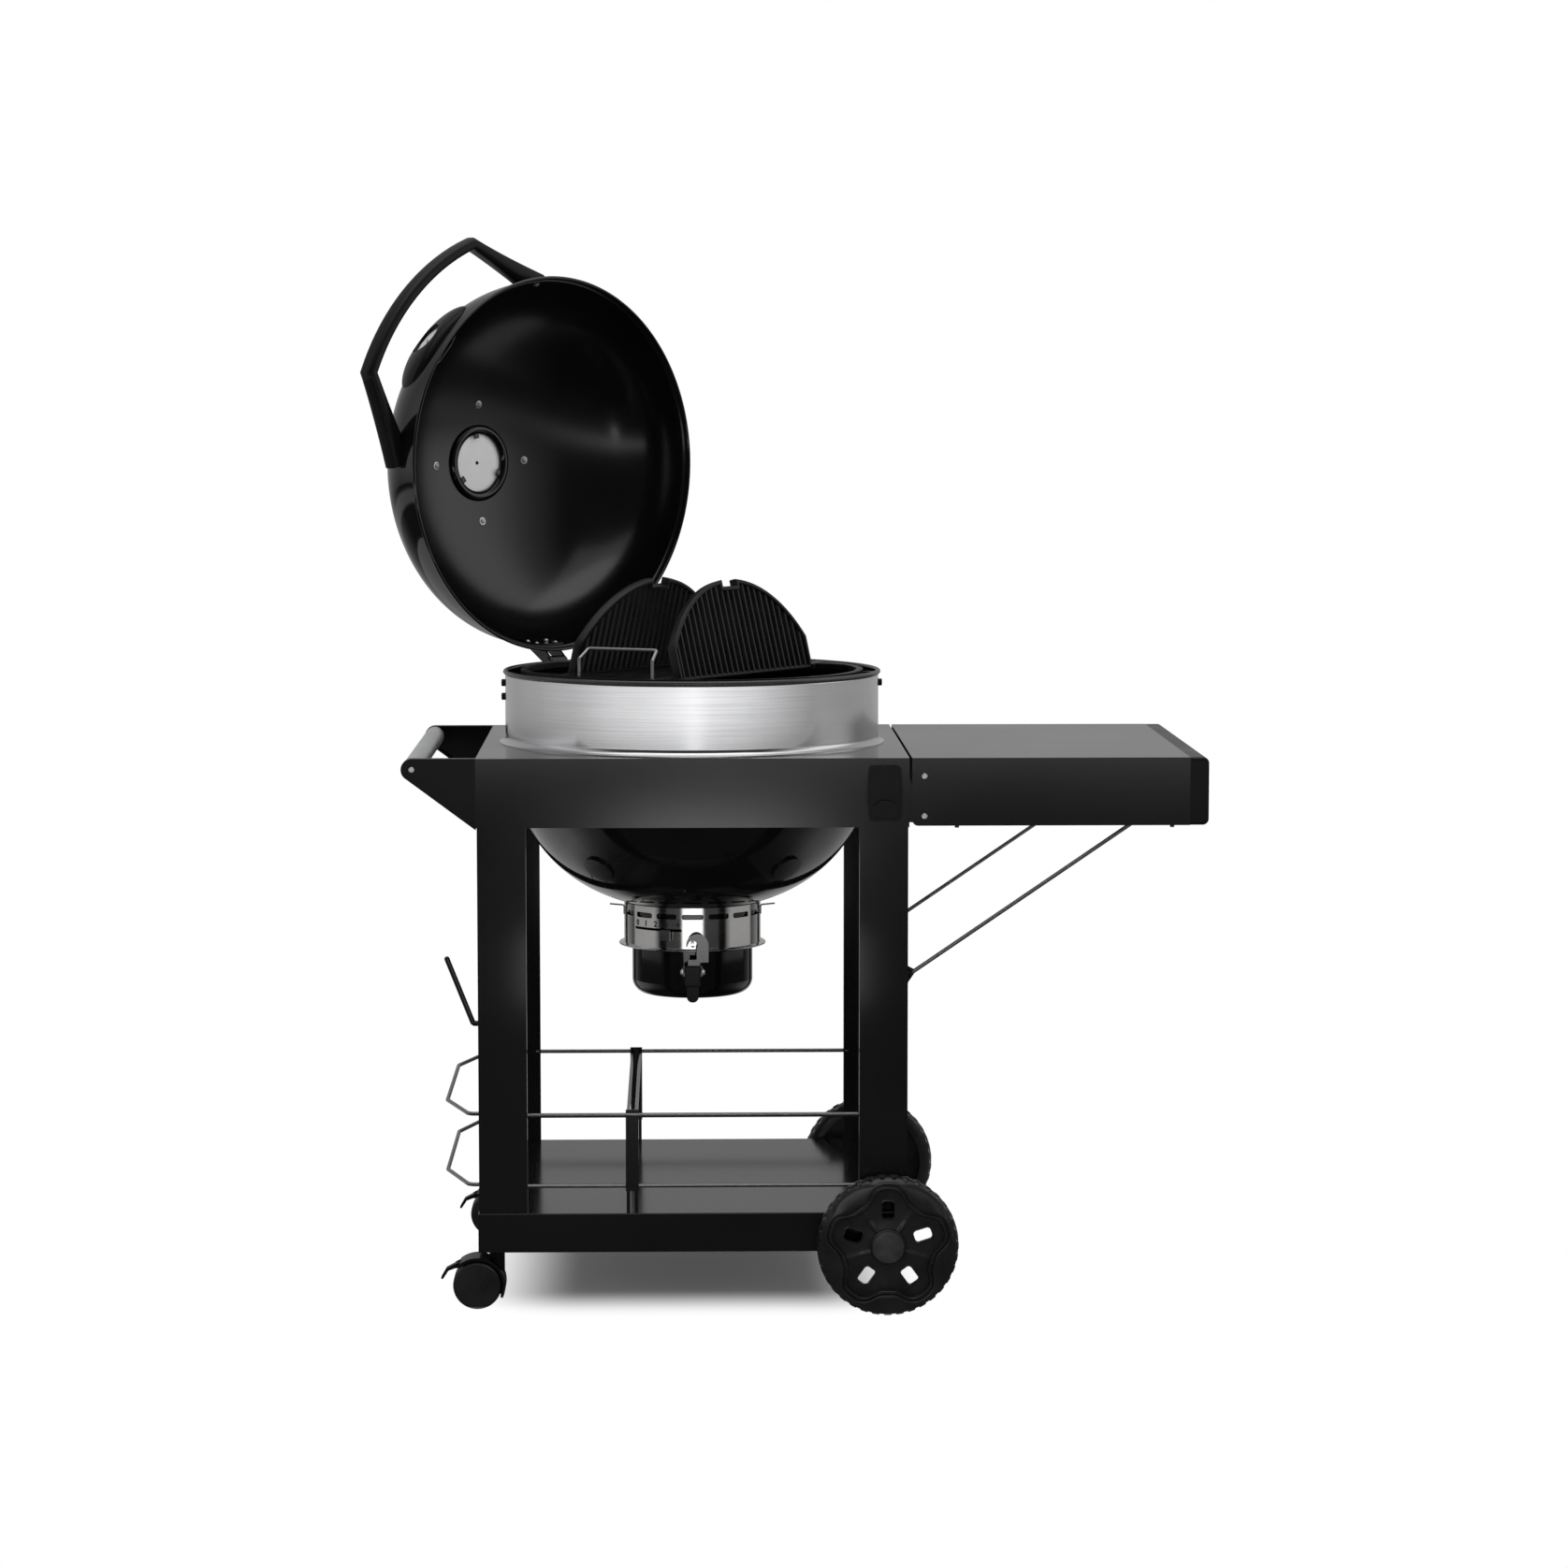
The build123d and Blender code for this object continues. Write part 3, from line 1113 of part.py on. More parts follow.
def latch_blade():
    """The flat steel hook above the grip, whose eye stands round the collar's stud."""
    x0, x1 = BLADE_STRIP
    foot_low = LATCH_PIVOT_Z + 3
    head_r = (x1 - x0) - 1
    outline = Pos(x1 - head_r, STUD_Z) * Circle(head_r)
    outline -= Pos(0, STUD_Z - 0.5) * Circle(7.5)
    outline -= Pos(x0 - 15, STUD_Z - 12) * Rectangle(30, 20)
    strip = Pos((x0 + x1) / 2, (foot_low + 8 + STUD_Z) / 2) * Rectangle(x1 - x0, STUD_Z - foot_low - 8)
    outline += strip - Pos(0, STUD_Z - 0.5) * Circle(7.5)
    foot = Pos(sum(BLADE_FOOT) / 2, foot_low + 6) * Rectangle(BLADE_FOOT[1] - BLADE_FOOT[0], 12)
    plane = Plane(origin=(0, -LATCH_OUT, 0), x_dir=(1, 0, 0), z_dir=(0, -1, 0))
    return extrude(plane * (outline + foot), BLADE_THICK)


def build_kettle():
    """The bowl and everything that it carries below the lid."""
    keep("bowl", bowl())
    keep("collar", collar())
    keep("collar_bolts", *collar_bolts())
    keep("support_discs", *support_discs())
    keep("grate_brackets", *grate_brackets())
    keep("charcoal_grate", charcoal_grate())
    keep("cooking_grate", cooking_grate())
    keep("grate_flap_left", flap(-1))
    keep("grate_flap_right", flap(1))
    keep("grate_handles", *grate_handles())
    keep("ash_collar", ash_collar())
    keep("catch_wires", *catch_wires())
    keep("sweeper", sweeper())
    keep("ash_pan", ash_pan())
    keep("latch_grip", latch_grip())
    keep("latch_blade", latch_blade())


# ---------------------------------------------------------------- lid

# The lid is built closed with its hinge on the +X side, then opened and turned to its azimuth.

LID_LOW_Z = HINGE_Z - 5.0
LID_SEAT_Z = LID_LOW_Z + LID_SKIRT
LID_JOIN_Z = LID_LOW_Z + LID_STRAIGHT
LID_TOP_Z = LID_JOIN_Z + LID_DOME
SKIRT_IN_R = BOWL_R + 1.5 + RIM_R + 2 * GAP
SKIRT_OUT_R = SKIRT_IN_R + LID_WALL
FRONT = 270.0 - LID_TURN  # the cook's side, seen from the hinge
FRONT_LEAF = 3.0


def opened(solid):
    """Swing a closed lid piece up to the open stop and turn it to the hinge's azimuth."""
    pivot = Pos(HINGE_R, 0, HINGE_Z)
    return around(LID_TURN, pivot * Rot(0, 90, 0) * Pos(-HINGE_R, 0, -HINGE_Z) * solid)


def lid_radius(z, inset=0.0):
    """Radius of the dome's outside at a height."""
    rise = max(z - LID_JOIN_Z, 0) / (LID_DOME - inset)
    return (LID_R - inset) * (1 - rise**LID_FULLNESS) ** (1 / LID_FULLNESS)


def lid_skin(outset, thick):
    """A dome-shaped layer whose inner face lies the given distance outside the lid."""
    radius, depth = LID_R + outset + thick, LID_DOME + outset + thick
    skin = dome_shell(radius, depth, thick, 0, LID_STRAIGHT - LID_SKIRT, LID_FULLNESS)
    return Pos(0, 0, LID_JOIN_Z) * Rot(180, 0, 0) * skin


def lid_shell():
    """The enamelled dome, stepped out over the bowl's rim and beaded at its lip."""
    shell = lid_skin(-LID_WALL, LID_WALL)
    step = Circle(SKIRT_OUT_R) - Circle(LID_R - LID_WALL)
    shell += Pos(0, 0, LID_SEAT_Z) * extrude(step, LID_WALL)
    skirt = Circle(SKIRT_OUT_R) - Circle(SKIRT_IN_R)
    shell += Pos(0, 0, LID_LOW_Z + LID_BEAD_R) * extrude(skirt, LID_SKIRT)
    bead_r = SKIRT_IN_R + LID_BEAD_R + GAP * 3
    shell += Pos(0, 0, LID_LOW_Z + LID_BEAD_R) * Torus(bead_r, LID_BEAD_R)
    shell -= Pos(0, 0, LID_TOP_Z - 30) * extrude(Circle(LID_VENT_R), 60)
    return shell - probe_hole()


GAUGE_Z = LID_LOW_Z + GAUGE_RISE
PROBE_R = 4.0
PROBE_LONG = 46.0
BEZEL_THICK = 8.0
DIAL_RISE = 14.0


def gauge_plane():
    """The plane that touches the dome at the thermometer, facing out."""
    r = lid_radius(GAUGE_Z)
    slope = math.degrees(math.atan2(lid_radius(GAUGE_Z - 1) - lid_radius(GAUGE_Z + 1), 2))
    turn = math.radians(FRONT)
    tilt = math.radians(slope)
    out = (math.cos(turn) * math.cos(tilt), math.sin(turn) * math.cos(tilt), math.sin(tilt))
    side = (-math.sin(turn), math.cos(turn), 0)
    return Plane(origin=(r * math.cos(turn), r * math.sin(turn), GAUGE_Z), x_dir=side, z_dir=out)


def probe_hole():
    """The hole that the thermometer's probe passes through."""
    return extrude(gauge_plane() * Circle(PROBE_R + GAP), 20, both=True)


def thermometer():
    """A wide bezel that hugs the dome, the round dial case on it, and the probe inside."""
    plane = gauge_plane()
    ends = [Pos(side * BEZEL_R * 1.3, -4) * Circle(BEZEL_R * 0.55) for side in (-1, 1)]
    edges = (Circle(BEZEL_R)).edges() + ends[0].edges() + ends[1].edges()
    bezel = extrude(plane * make_hull(edges), 40, both=True) & lid_skin(GAP, BEZEL_THICK)
    case = extrude(plane.offset(BEZEL_THICK / 2) * Circle(BEZEL_R * 0.86), DIAL_RISE - BEZEL_THICK / 2)
    case = fillet(case.edges().sort_by(SortBy.DISTANCE)[-1], 2.0) if DIAL_RISE < 0 else case
    probe = extrude(plane.offset(-PROBE_LONG) * Circle(PROBE_R), PROBE_LONG + BEZEL_THICK / 2)
    return bezel + case + probe


def probe_guard():
    """The small bracket round the probe inside the lid."""
    plane = gauge_plane()
    base = extrude(plane * Rectangle(56, 26), 30, both=True) & lid_skin(-LID_WALL - 2.5, 2.2)
    base -= extrude(plane * Circle(PROBE_R + GAP), 40, both=True)
    return base


def handle_plan(radial, half_angle, foot_angle):
    """The plan of the lid handle: an arc in front of the lid and two legs back to it."""
    inner_r, outer_r = HANDLE_R - radial / 2, HANDLE_R + radial / 2
    grip = sector(inner_r, outer_r, FRONT, 2 * half_angle, -1, 0)
    plan = grip.faces().sort_by(Axis.Z)[-1]
    faces = [plan]
    for side in (-1, 1):
        knee_out = polar(outer_r, FRONT + side * half_angle)
        knee_in = polar(inner_r, FRONT + side * half_angle)
        foot_out = polar(LID_R - 8, FRONT + side * (foot_angle + 2.4))
        foot_in = polar(LID_R - 8, FRONT + side * (foot_angle - 2.4))
        leg = make_face(Polyline(knee_in, knee_out, foot_out, foot_in, close=True))
        faces.append(leg)
    return faces


def lid_handle():
    """The moulded handle that bows out in front of the lid, its feet cut to the dome."""
    faces = handle_plan(HANDLE_THICK, HANDLE_HALF, HANDLE_FOOT)
    plan = Sketch() + faces
    low = LID_LOW_Z + HANDLE_RISE - HANDLE_TALL / 2
    handle = Pos(0, 0, low) * extrude(plan, HANDLE_TALL)
    rounded = handle.edges().filter_by(GeomType.CIRCLE)
    handle = fillet(rounded, HANDLE_THICK * 0.3)
    envelope = Pos(0, 0, LID_LOW_Z) * extrude(Circle(LID_R + GAP), LID_JOIN_Z - LID_LOW_Z)
    cutter = lid_skin(GAP - 40, 40)
    return handle - cutter - envelope


def vent_ring():
    """The ring round the vent hole inside the lid, with three small tabs into the hole."""
    top = LID_TOP_Z - LID_WALL - 1.5
    plan = Circle(LID_RING_R) - Circle(LID_VENT_R)
    for i in range(3):
        plan += Rot(0, 0, i * 120) * Pos(LID_VENT_R - 2, 0) * Rectangle(10, 12)
    ring = Pos(0, 0, top - 5) * extrude(plan, 6)
    return ring - lid_skin(-LID_WALL, 40)


def vent_disc():
    """The damper disc over the vent, with the tab that turns it."""
    low = LID_TOP_Z + GAP
    plan = Circle(LID_VENT_R + 9) + Pos(LID_VENT_R + 20, 0) * Rectangle(30, 14)
    plan -= Circle(3.0 + RUNNING)
    return Pos(0, 0, low) * extrude(plan, 1.5)


def vent_cap():
    """The cap that stands over the disc on three feet and carries its rivet."""
    low = LID_TOP_Z + 1.5 + 2 * GAP
    cap = Pos(0, 0, low + 4) * extrude(Circle(LID_VENT_R + 8), 3)
    cap = fillet(cap.edges().sort_by(Axis.Z)[-1], 2.5)
    for i in range(3):
        foot = sector(LID_VENT_R + 11, LID_VENT_R + 14, 60 + i * 120, 16, LID_TOP_Z - 12, low + 7)
        arm = sector(LID_VENT_R + 4, LID_VENT_R + 14, 60 + i * 120, 16, low + 4, low + 7)
        cap += foot + arm
    cap += Pos(0, 0, LID_TOP_Z - 3) * extrude(Circle(3.0), 12)
    cap += Pos(0, 0, LID_TOP_Z - 4) * extrude(Circle(6.0), 3)
    return cap - lid_skin(-40, 40)


LEAF_HALF = 30.0
KNUCKLE_HALF = 13.0


def lid_leaf():
    """The hinge leaf riveted to the lid: a curved plate and two arms down to the pin."""
    low, high = LID_LOW_Z + LID_STRAIGHT - 4, LID_LOW_Z + 62
    plate = box(LID_R - 60, LID_R + 20, -LEAF_HALF, LEAF_HALF, low, high) & lid_skin(GAP / 3, FRONT_LEAF)
    eye = Pos(HINGE_R, HINGE_Z) * Circle(KNUCKLE_R)
    back = Line((LID_R + 1.5, low), (LID_R + 1.5, high - 10))
    outline = make_hull(eye.edges() + ShapeList([back]))
    for side in (-1, 1):
        plane = Plane(
            origin=(0, side * (KNUCKLE_HALF + GAP), 0), x_dir=(1, 0, 0), z_dir=(0, -1, 0)
        )
        plate += extrude(plane * outline, -side * 4)
    pin = rod((HINGE_R, -40, HINGE_Z), (HINGE_R, 40, HINGE_Z), PIN_R + RUNNING)
    return plate - pin


def inner_leaf():
    """The backing plate inside the lid, behind the hinge leaf."""
    low, high = LID_LOW_Z + LID_STRAIGHT, LID_LOW_Z + 58
    return box(LID_R - 60, LID_R, -LEAF_HALF, LEAF_HALF, low, high) & lid_skin(-LID_WALL - 2.1, 2.0)


def kettle_hinge():
    """The bracket on the collar that holds the hinge pin."""
    plate = sector(COLLAR_OUT_R, COLLAR_OUT_R + 3, 0, 9, TABLE_Z + 30, COLLAR_TOP_Z - 12)
    eye = Pos(HINGE_R, HINGE_Z) * Circle(KNUCKLE_R)
    back = Line((COLLAR_OUT_R + 2, TABLE_Z + 45), (COLLAR_OUT_R + 2, COLLAR_TOP_Z - 20))
    outline = make_hull(eye.edges() + ShapeList([back]))
    plane = Plane(origin=(0, 0, 0), x_dir=(1, 0, 0), z_dir=(0, -1, 0))
    arm = extrude(plane * outline, KNUCKLE_HALF, both=True)
    inner = make_hull((Pos(HINGE_R - 1, HINGE_Z - 22) * Circle(4)).edges() + ShapeList([back]))
    arm -= extrude(plane * inner, KNUCKLE_HALF - 4, both=True)
    reach = KNUCKLE_HALF + GAP + 4 + GAP
    pin = rod((HINGE_R, -reach, HINGE_Z), (HINGE_R, reach, HINGE_Z), PIN_R)
    for side in (-1, 1):
        start = (HINGE_R, side * reach, HINGE_Z)
        pin += rod(start, (HINGE_R, side * (reach + 3), HINGE_Z), PIN_R + 2)
    return around(LID_TURN, plate + arm + pin)


def lid_fasteners():
    """Round heads inside the lid: hinge rivets, handle screws, and those round the vent."""
    heads = []
    shell = lid_skin(-LID_WALL - 2.1 - 2.5, 2.4)
    for y in (-20, 20):
        for rise in (LID_STRAIGHT + 8, 50):
            reach = rod((LID_R - 60, y, LID_LOW_Z + rise), (LID_R, y, LID_LOW_Z + rise), 3.5)
            heads.append(reach & shell)
    near = lid_skin(-LID_WALL - 2.6, 2.5)
    for side in (-1, 1):
        z = LID_LOW_Z + HANDLE_RISE
        line = rod((LID_R - 60, 0, z), (LID_R, 0, z), 4.0)
        heads.append(around(FRONT + side * HANDLE_FOOT, line & near))
    for i in range(4):
        stem = Pos(88, 0, LID_TOP_Z - 40) * extrude(Circle(4.5), 60)
        heads.append(around(FRONT + i * 90, stem & near))
    return heads


def build_lid():
    """The lid and what rides on it, opened; its pin and bracket stay with the kettle."""
    keep("lid_shell", opened(lid_shell()))
    keep("thermometer", opened(thermometer()), opened(probe_guard()))
    keep("lid_handle", opened(lid_handle()))
    keep("lid_vent_ring", opened(vent_ring()))
    keep("lid_vent_disc", opened(vent_disc()))
    keep("lid_vent_cap", opened(vent_cap()))
    keep("lid_hinge_leaf", opened(lid_leaf()), opened(inner_leaf()))
    keep("lid_fasteners", *[opened(head) for head in lid_fasteners()])
    keep("kettle_hinge", kettle_hinge())


def write_parts():
    """Move everything to the footprint's middle on the floor and write one file per node."""
    boxes = [solid.bounding_box() for solid in BODIES.values()]
    low = [min(getattr(b.min, axis) for b in boxes) for axis in "XYZ"]
    high = [max(getattr(b.max, axis) for b in boxes) for axis in "XYZ"]
    shift = Pos(-(low[0] + high[0]) / 2, -(low[1] + high[1]) / 2, -low[2])
    for name, solid in BODIES.items():
        export_step(shift * solid, "parts/" + name + ".step")


build_cart()
build_shelf()
build_running_gear()
build_kettle()
build_lid()
write_parts()
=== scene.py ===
"""Finishes, finely made pieces, studio and camera for a kettle charcoal grill on its cart."""
import json
import logging
import math
from collections.abc import Callable
from dataclasses import dataclass, field
from enum import Enum

import bmesh
import bpy
import numpy as np
from mathutils import Matrix, Vector


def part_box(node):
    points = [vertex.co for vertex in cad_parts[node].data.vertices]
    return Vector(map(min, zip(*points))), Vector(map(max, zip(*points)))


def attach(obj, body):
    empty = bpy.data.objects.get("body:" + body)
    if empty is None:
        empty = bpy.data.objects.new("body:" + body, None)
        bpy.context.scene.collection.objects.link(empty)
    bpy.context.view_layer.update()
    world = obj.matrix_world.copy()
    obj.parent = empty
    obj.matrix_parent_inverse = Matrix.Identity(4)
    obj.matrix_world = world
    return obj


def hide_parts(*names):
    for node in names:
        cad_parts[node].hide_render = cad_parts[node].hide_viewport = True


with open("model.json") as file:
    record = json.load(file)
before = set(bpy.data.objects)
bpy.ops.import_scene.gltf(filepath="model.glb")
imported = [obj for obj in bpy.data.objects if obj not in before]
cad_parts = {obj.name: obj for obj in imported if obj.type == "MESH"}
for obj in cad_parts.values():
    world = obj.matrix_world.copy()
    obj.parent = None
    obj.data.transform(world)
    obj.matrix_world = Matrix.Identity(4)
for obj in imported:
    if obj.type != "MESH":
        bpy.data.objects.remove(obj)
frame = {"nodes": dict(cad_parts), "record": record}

LOG = logging.getLogger("kettle_grill")
Array = np.ndarray
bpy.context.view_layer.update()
RECORD = frame["record"]
MM = 0.001
FRONT = 270.0  # azimuth of the cook's side, in degrees
UP = np.array([0.0, 0.0, 1.0])
ORIGIN = np.zeros(3)


# ------------------------------------------------------------------ places read from the model


def corners(node: str) -> tuple[Array, Array]:
    """Lowest and highest corner of a node, in metres."""
    low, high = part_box(node)
    return np.array(low, float), np.array(high, float)


def hinge(name: str) -> tuple[Vector, Vector]:
    """A point on a joint's axis, and the unit direction of the axis."""
    joint = next(j for j in RECORD["behaviour"]["joints"] if j["name"] == name)
    return Vector(joint["pos_m"]), Vector(joint["axis"]).normalized()


BOWL_LOW, BOWL_HIGH = corners("bowl")
KETTLE = np.array([(BOWL_LOW[0] + BOWL_HIGH[0]) / 2, (BOWL_LOW[1] + BOWL_HIGH[1]) / 2, 0.0])
RIM_TOP = float(BOWL_HIGH[2])
RIM_ROLL = 3.5 * MM  # radius of the bowl's rolled rim


def lid_swing() -> Matrix:
    """The turn that carries the closed lid up to its open stop, a quarter turn about its hinge.

    Returns:
        The turn, as a matrix for points in metres.
    """
    point, axis = hinge("lid_hinge")
    turn = Matrix.Rotation(-math.pi / 2, 4, axis)
    return Matrix.Translation(point) @ turn @ Matrix.Translation(-point)


def placed(name: str, data: bpy.types.ID) -> bpy.types.Object:
    """Make an object of some data and link it to the scene.

    Args:
        name: the object's name.
        data: the mesh, curve, lamp or camera that it holds.

    Returns:
        The new object.
    """
    made = bpy.data.objects.new(name, data)
    bpy.context.scene.collection.objects.link(made)
    return made


# ------------------------------------------------------------------ finishes


class Grain(Enum):
    """How the fine pattern of a finish runs: the stretch of its noise along X, Y and Z."""

    SPECKLE = (1.0, 1.0, 1.0)
    AROUND = (0.006, 0.006, 1.0)


class Graph:
    """A short way to add and join the nodes of one material or world."""

    def __init__(self, owner: bpy.types.Material | bpy.types.World) -> None:
        """Empty the owner's tree and keep it.

        Args:
            owner: the material or world that takes the nodes.
        """
        owner.use_nodes = True
        self.tree = owner.node_tree
        self.tree.nodes.clear()

    def add(self, kind: str, inputs: dict[str | int, object], **settings: object) -> bpy.types.Node:
        """Add a node, set its properties and fill its inputs.

        Args:
            kind: Blender's name of the node type, after its first words, which are always the same.
            inputs: a value or another node's output for each input, by name or number.
            settings: properties of the node by name.

        Returns:
            The new node.
        """
        node = self.tree.nodes.new("ShaderNode" + kind)
        for key, value in settings.items():
            setattr(node, key, value)
        for key, value in inputs.items():
            if isinstance(value, bpy.types.NodeSocket):
                self.tree.links.new(value, node.inputs[key])
            else:
                node.inputs[key].default_value = value
        return node

    def math(self, operation: str, *values: object) -> bpy.types.NodeSocket:
        """Add a sum of values or sockets, by its Blender name, and return its result."""
        return self.add("Math", dict(enumerate(values)), operation=operation).outputs["Value"]

    def vector(self, operation: str, *values: object) -> bpy.types.Node:
        """Add a vector sum, in the same way, and return its node."""
        return self.add("VectorMath", dict(enumerate(values)), operation=operation)

    def noise(
        self, place: bpy.types.NodeSocket, size: float, detail: float
    ) -> bpy.types.NodeSocket:
        """Add a noise read at a place, with blobs of a size in metres, and return its height."""
        inputs = {"Vector": place, "Scale": 1 / size, "Detail": detail}
        return self.add("TexNoise", inputs).outputs["Fac"]

    def spread(self, value: bpy.types.NodeSocket, low: float, high: float) -> bpy.types.NodeSocket:
        """Map a noise's height from 0.3 to 0.7 onto the range from low to high."""
        ends = {"From Min": 0.3, "From Max": 0.7, "To Min": low, "To Max": high}
        return self.add("MapRange", {"Value": value, **ends}).outputs["Result"]


@dataclass(frozen=True)
class Finish:
    """One finish: its colour and gloss, and the fine grain that breaks them up."""

    name: str
    color: tuple[float, float, float]
    roughness: float
    metallic: float = 0.0
    specular: float = 0.5
    grain: Grain = Grain.SPECKLE
    pitch: float = 0.001
    bump: float = 0.1
    relief: float = 0.00005
    mottle: float = 0.1
    swing: float = 0.05
    cloud: float = 0.08

    def material(self) -> bpy.types.Material:
        """Build the material: fine noise for bump and roughness, broad noise for colour.

        Returns:
            The material, made once and then reused.
        """
        made = bpy.data.materials.get(self.name)
        if made:
            return made
        made = bpy.data.materials.new(self.name)
        graph = Graph(made)
        place = graph.add("TexCoord", {}).outputs["Object"]
        stretched = graph.add("Mapping", {"Vector": place, "Scale": self.grain.value})
        fine = graph.noise(stretched.outputs["Vector"], self.pitch, 3.0)
        broad = graph.noise(place, self.cloud, 4.0)
        dark, light = (
            (*[min(c * share, 1) for c in self.color], 1)
            for share in (1 - self.mottle, 1 + self.mottle)
        )
        tone = {"A": dark, "B": light, "Factor": graph.spread(broad, 0, 1)}
        both = graph.math("MULTIPLY_ADD", fine, 0.5, graph.math("MULTIPLY", broad, 0.5))
        low, high = max(self.roughness - self.swing, 0.01), self.roughness + self.swing
        grain = {"Strength": self.bump, "Distance": self.relief, "Height": fine}
        shader = graph.add("BsdfPrincipled", {
            "Base Color": graph.add("Mix", tone, data_type="RGBA").outputs["Result"],
            "Metallic": self.metallic,
            "Specular IOR Level": self.specular,
            "Roughness": graph.spread(both, low, high),
            "Normal": graph.add("Bump", grain).outputs["Normal"],
        })
        graph.add("OutputMaterial", {"Surface": shader.outputs["BSDF"]})
        return made


POWDER_BLACK = Finish(
    "powder_black", (0.0062, 0.0062, 0.0066), 0.15, specular=0.40, pitch=0.0011, bump=0.2,
    relief=0.00004, mottle=0.2, swing=0.03, cloud=0.25,
)
ENAMEL = Finish(
    "black_enamel", (0.003, 0.003, 0.0034), 0.07, pitch=0.004, relief=0.00006, mottle=0.3,
    swing=0.03, cloud=0.12,
)
LID_LINING = Finish(
    "lid_lining", (0.003, 0.003, 0.0034), 0.20, pitch=0.005, bump=0.06, mottle=0.3, swing=0.03,
    cloud=0.12,
)
BRUSHED = Finish(
    "brushed_band", (0.60, 0.60, 0.61), 0.15, metallic=1.0, grain=Grain.AROUND, pitch=0.0011,
    bump=0.22, relief=0.00002, mottle=0.05, cloud=0.12,
)
# Painted sheen: the rolled rim is the bowl's own black enamel, given a lighter grey colour that
# stands in for the line of light along it, and a rougher gloss.
RIM_PAINTED_SHEEN = Finish("rim_enamel_painted_sheen", (0.030, 0.030, 0.031), 0.28, pitch=0.003, mottle=0.25)
POLISHED = Finish(
    "polished_steel", (0.62, 0.61, 0.60), 0.12, metallic=1.0, grain=Grain.AROUND, pitch=0.0012,
    bump=0.05, relief=0.00002, mottle=0.05, swing=0.04, cloud=0.05,
)
# Painted reflection: the metal damper gets a near-white matt colour that stands in for the bright
# light its metal reflects.
GLARE_PAINTED_DISC = Finish(
    "damper_painted_glare", (0.97, 0.97, 0.965), 0.42, pitch=0.0012, bump=0.12, mottle=0.04, swing=0.06,
    cloud=0.03,
)
ZINC = Finish(
    "zinc_screws", (0.60, 0.60, 0.60), 0.28, metallic=1.0, pitch=0.0006, bump=0.15, mottle=0.12,
    swing=0.08, cloud=0.006,
)
WIRE = Finish(
    "nickel_wire", (0.27, 0.27, 0.27), 0.36, metallic=1.0, pitch=0.006, bump=0.03, mottle=0.06,
    swing=0.03, cloud=0.05,
)
CAST_IRON = Finish(
    "cast_iron", (0.007, 0.007, 0.0075), 0.42, specular=0.22, pitch=0.0018, bump=0.3,
    relief=0.00010, mottle=0.35, swing=0.10, cloud=0.03,
)
MOULDED = Finish(
    "moulded_black", (0.0045, 0.0045, 0.0048), 0.30, specular=0.16, pitch=0.0009, bump=0.25,
    mottle=0.2, swing=0.06, cloud=0.07,
)
WHEEL_PLASTIC = Finish(
    "wheel_moulding", (0.009, 0.009, 0.0095), 0.32, specular=0.45, pitch=0.0012, bump=0.3,
    relief=0.00006, mottle=0.3, swing=0.08, cloud=0.04,
)
HUB_CAP = Finish(
    "hub_cap", (0.024, 0.024, 0.025), 0.42, specular=0.4, pitch=0.0012, bump=0.3, relief=0.00006,
    mottle=0.3, swing=0.08, cloud=0.02,
)
LATCH_STEEL = Finish(
    "latch_steel", (0.16, 0.16, 0.16), 0.34, metallic=1.0, pitch=0.002, cloud=0.01
)
TUBE_GREY = Finish(
    "satin_grey_tube", (0.56, 0.57, 0.58), 0.34, metallic=0.55, bump=0.18, relief=0.00003,
    mottle=0.07, swing=0.06, cloud=0.06,
)
RUBBER = Finish(
    "rubber_stops", (0.02, 0.02, 0.02), 0.75, pitch=0.0009, bump=0.4, mottle=0.2, swing=0.06,
    cloud=0.01,
)
DIAL_FACE = Finish(
    "dial_face", (0.78, 0.78, 0.76), 0.45, pitch=0.002, bump=0.05, mottle=0.03, swing=0.03,
    cloud=0.01,
)
INK = Finish("dial_ink", (0.015, 0.015, 0.016), 0.5, bump=0.05)


# ------------------------------------------------------------------ surfaces


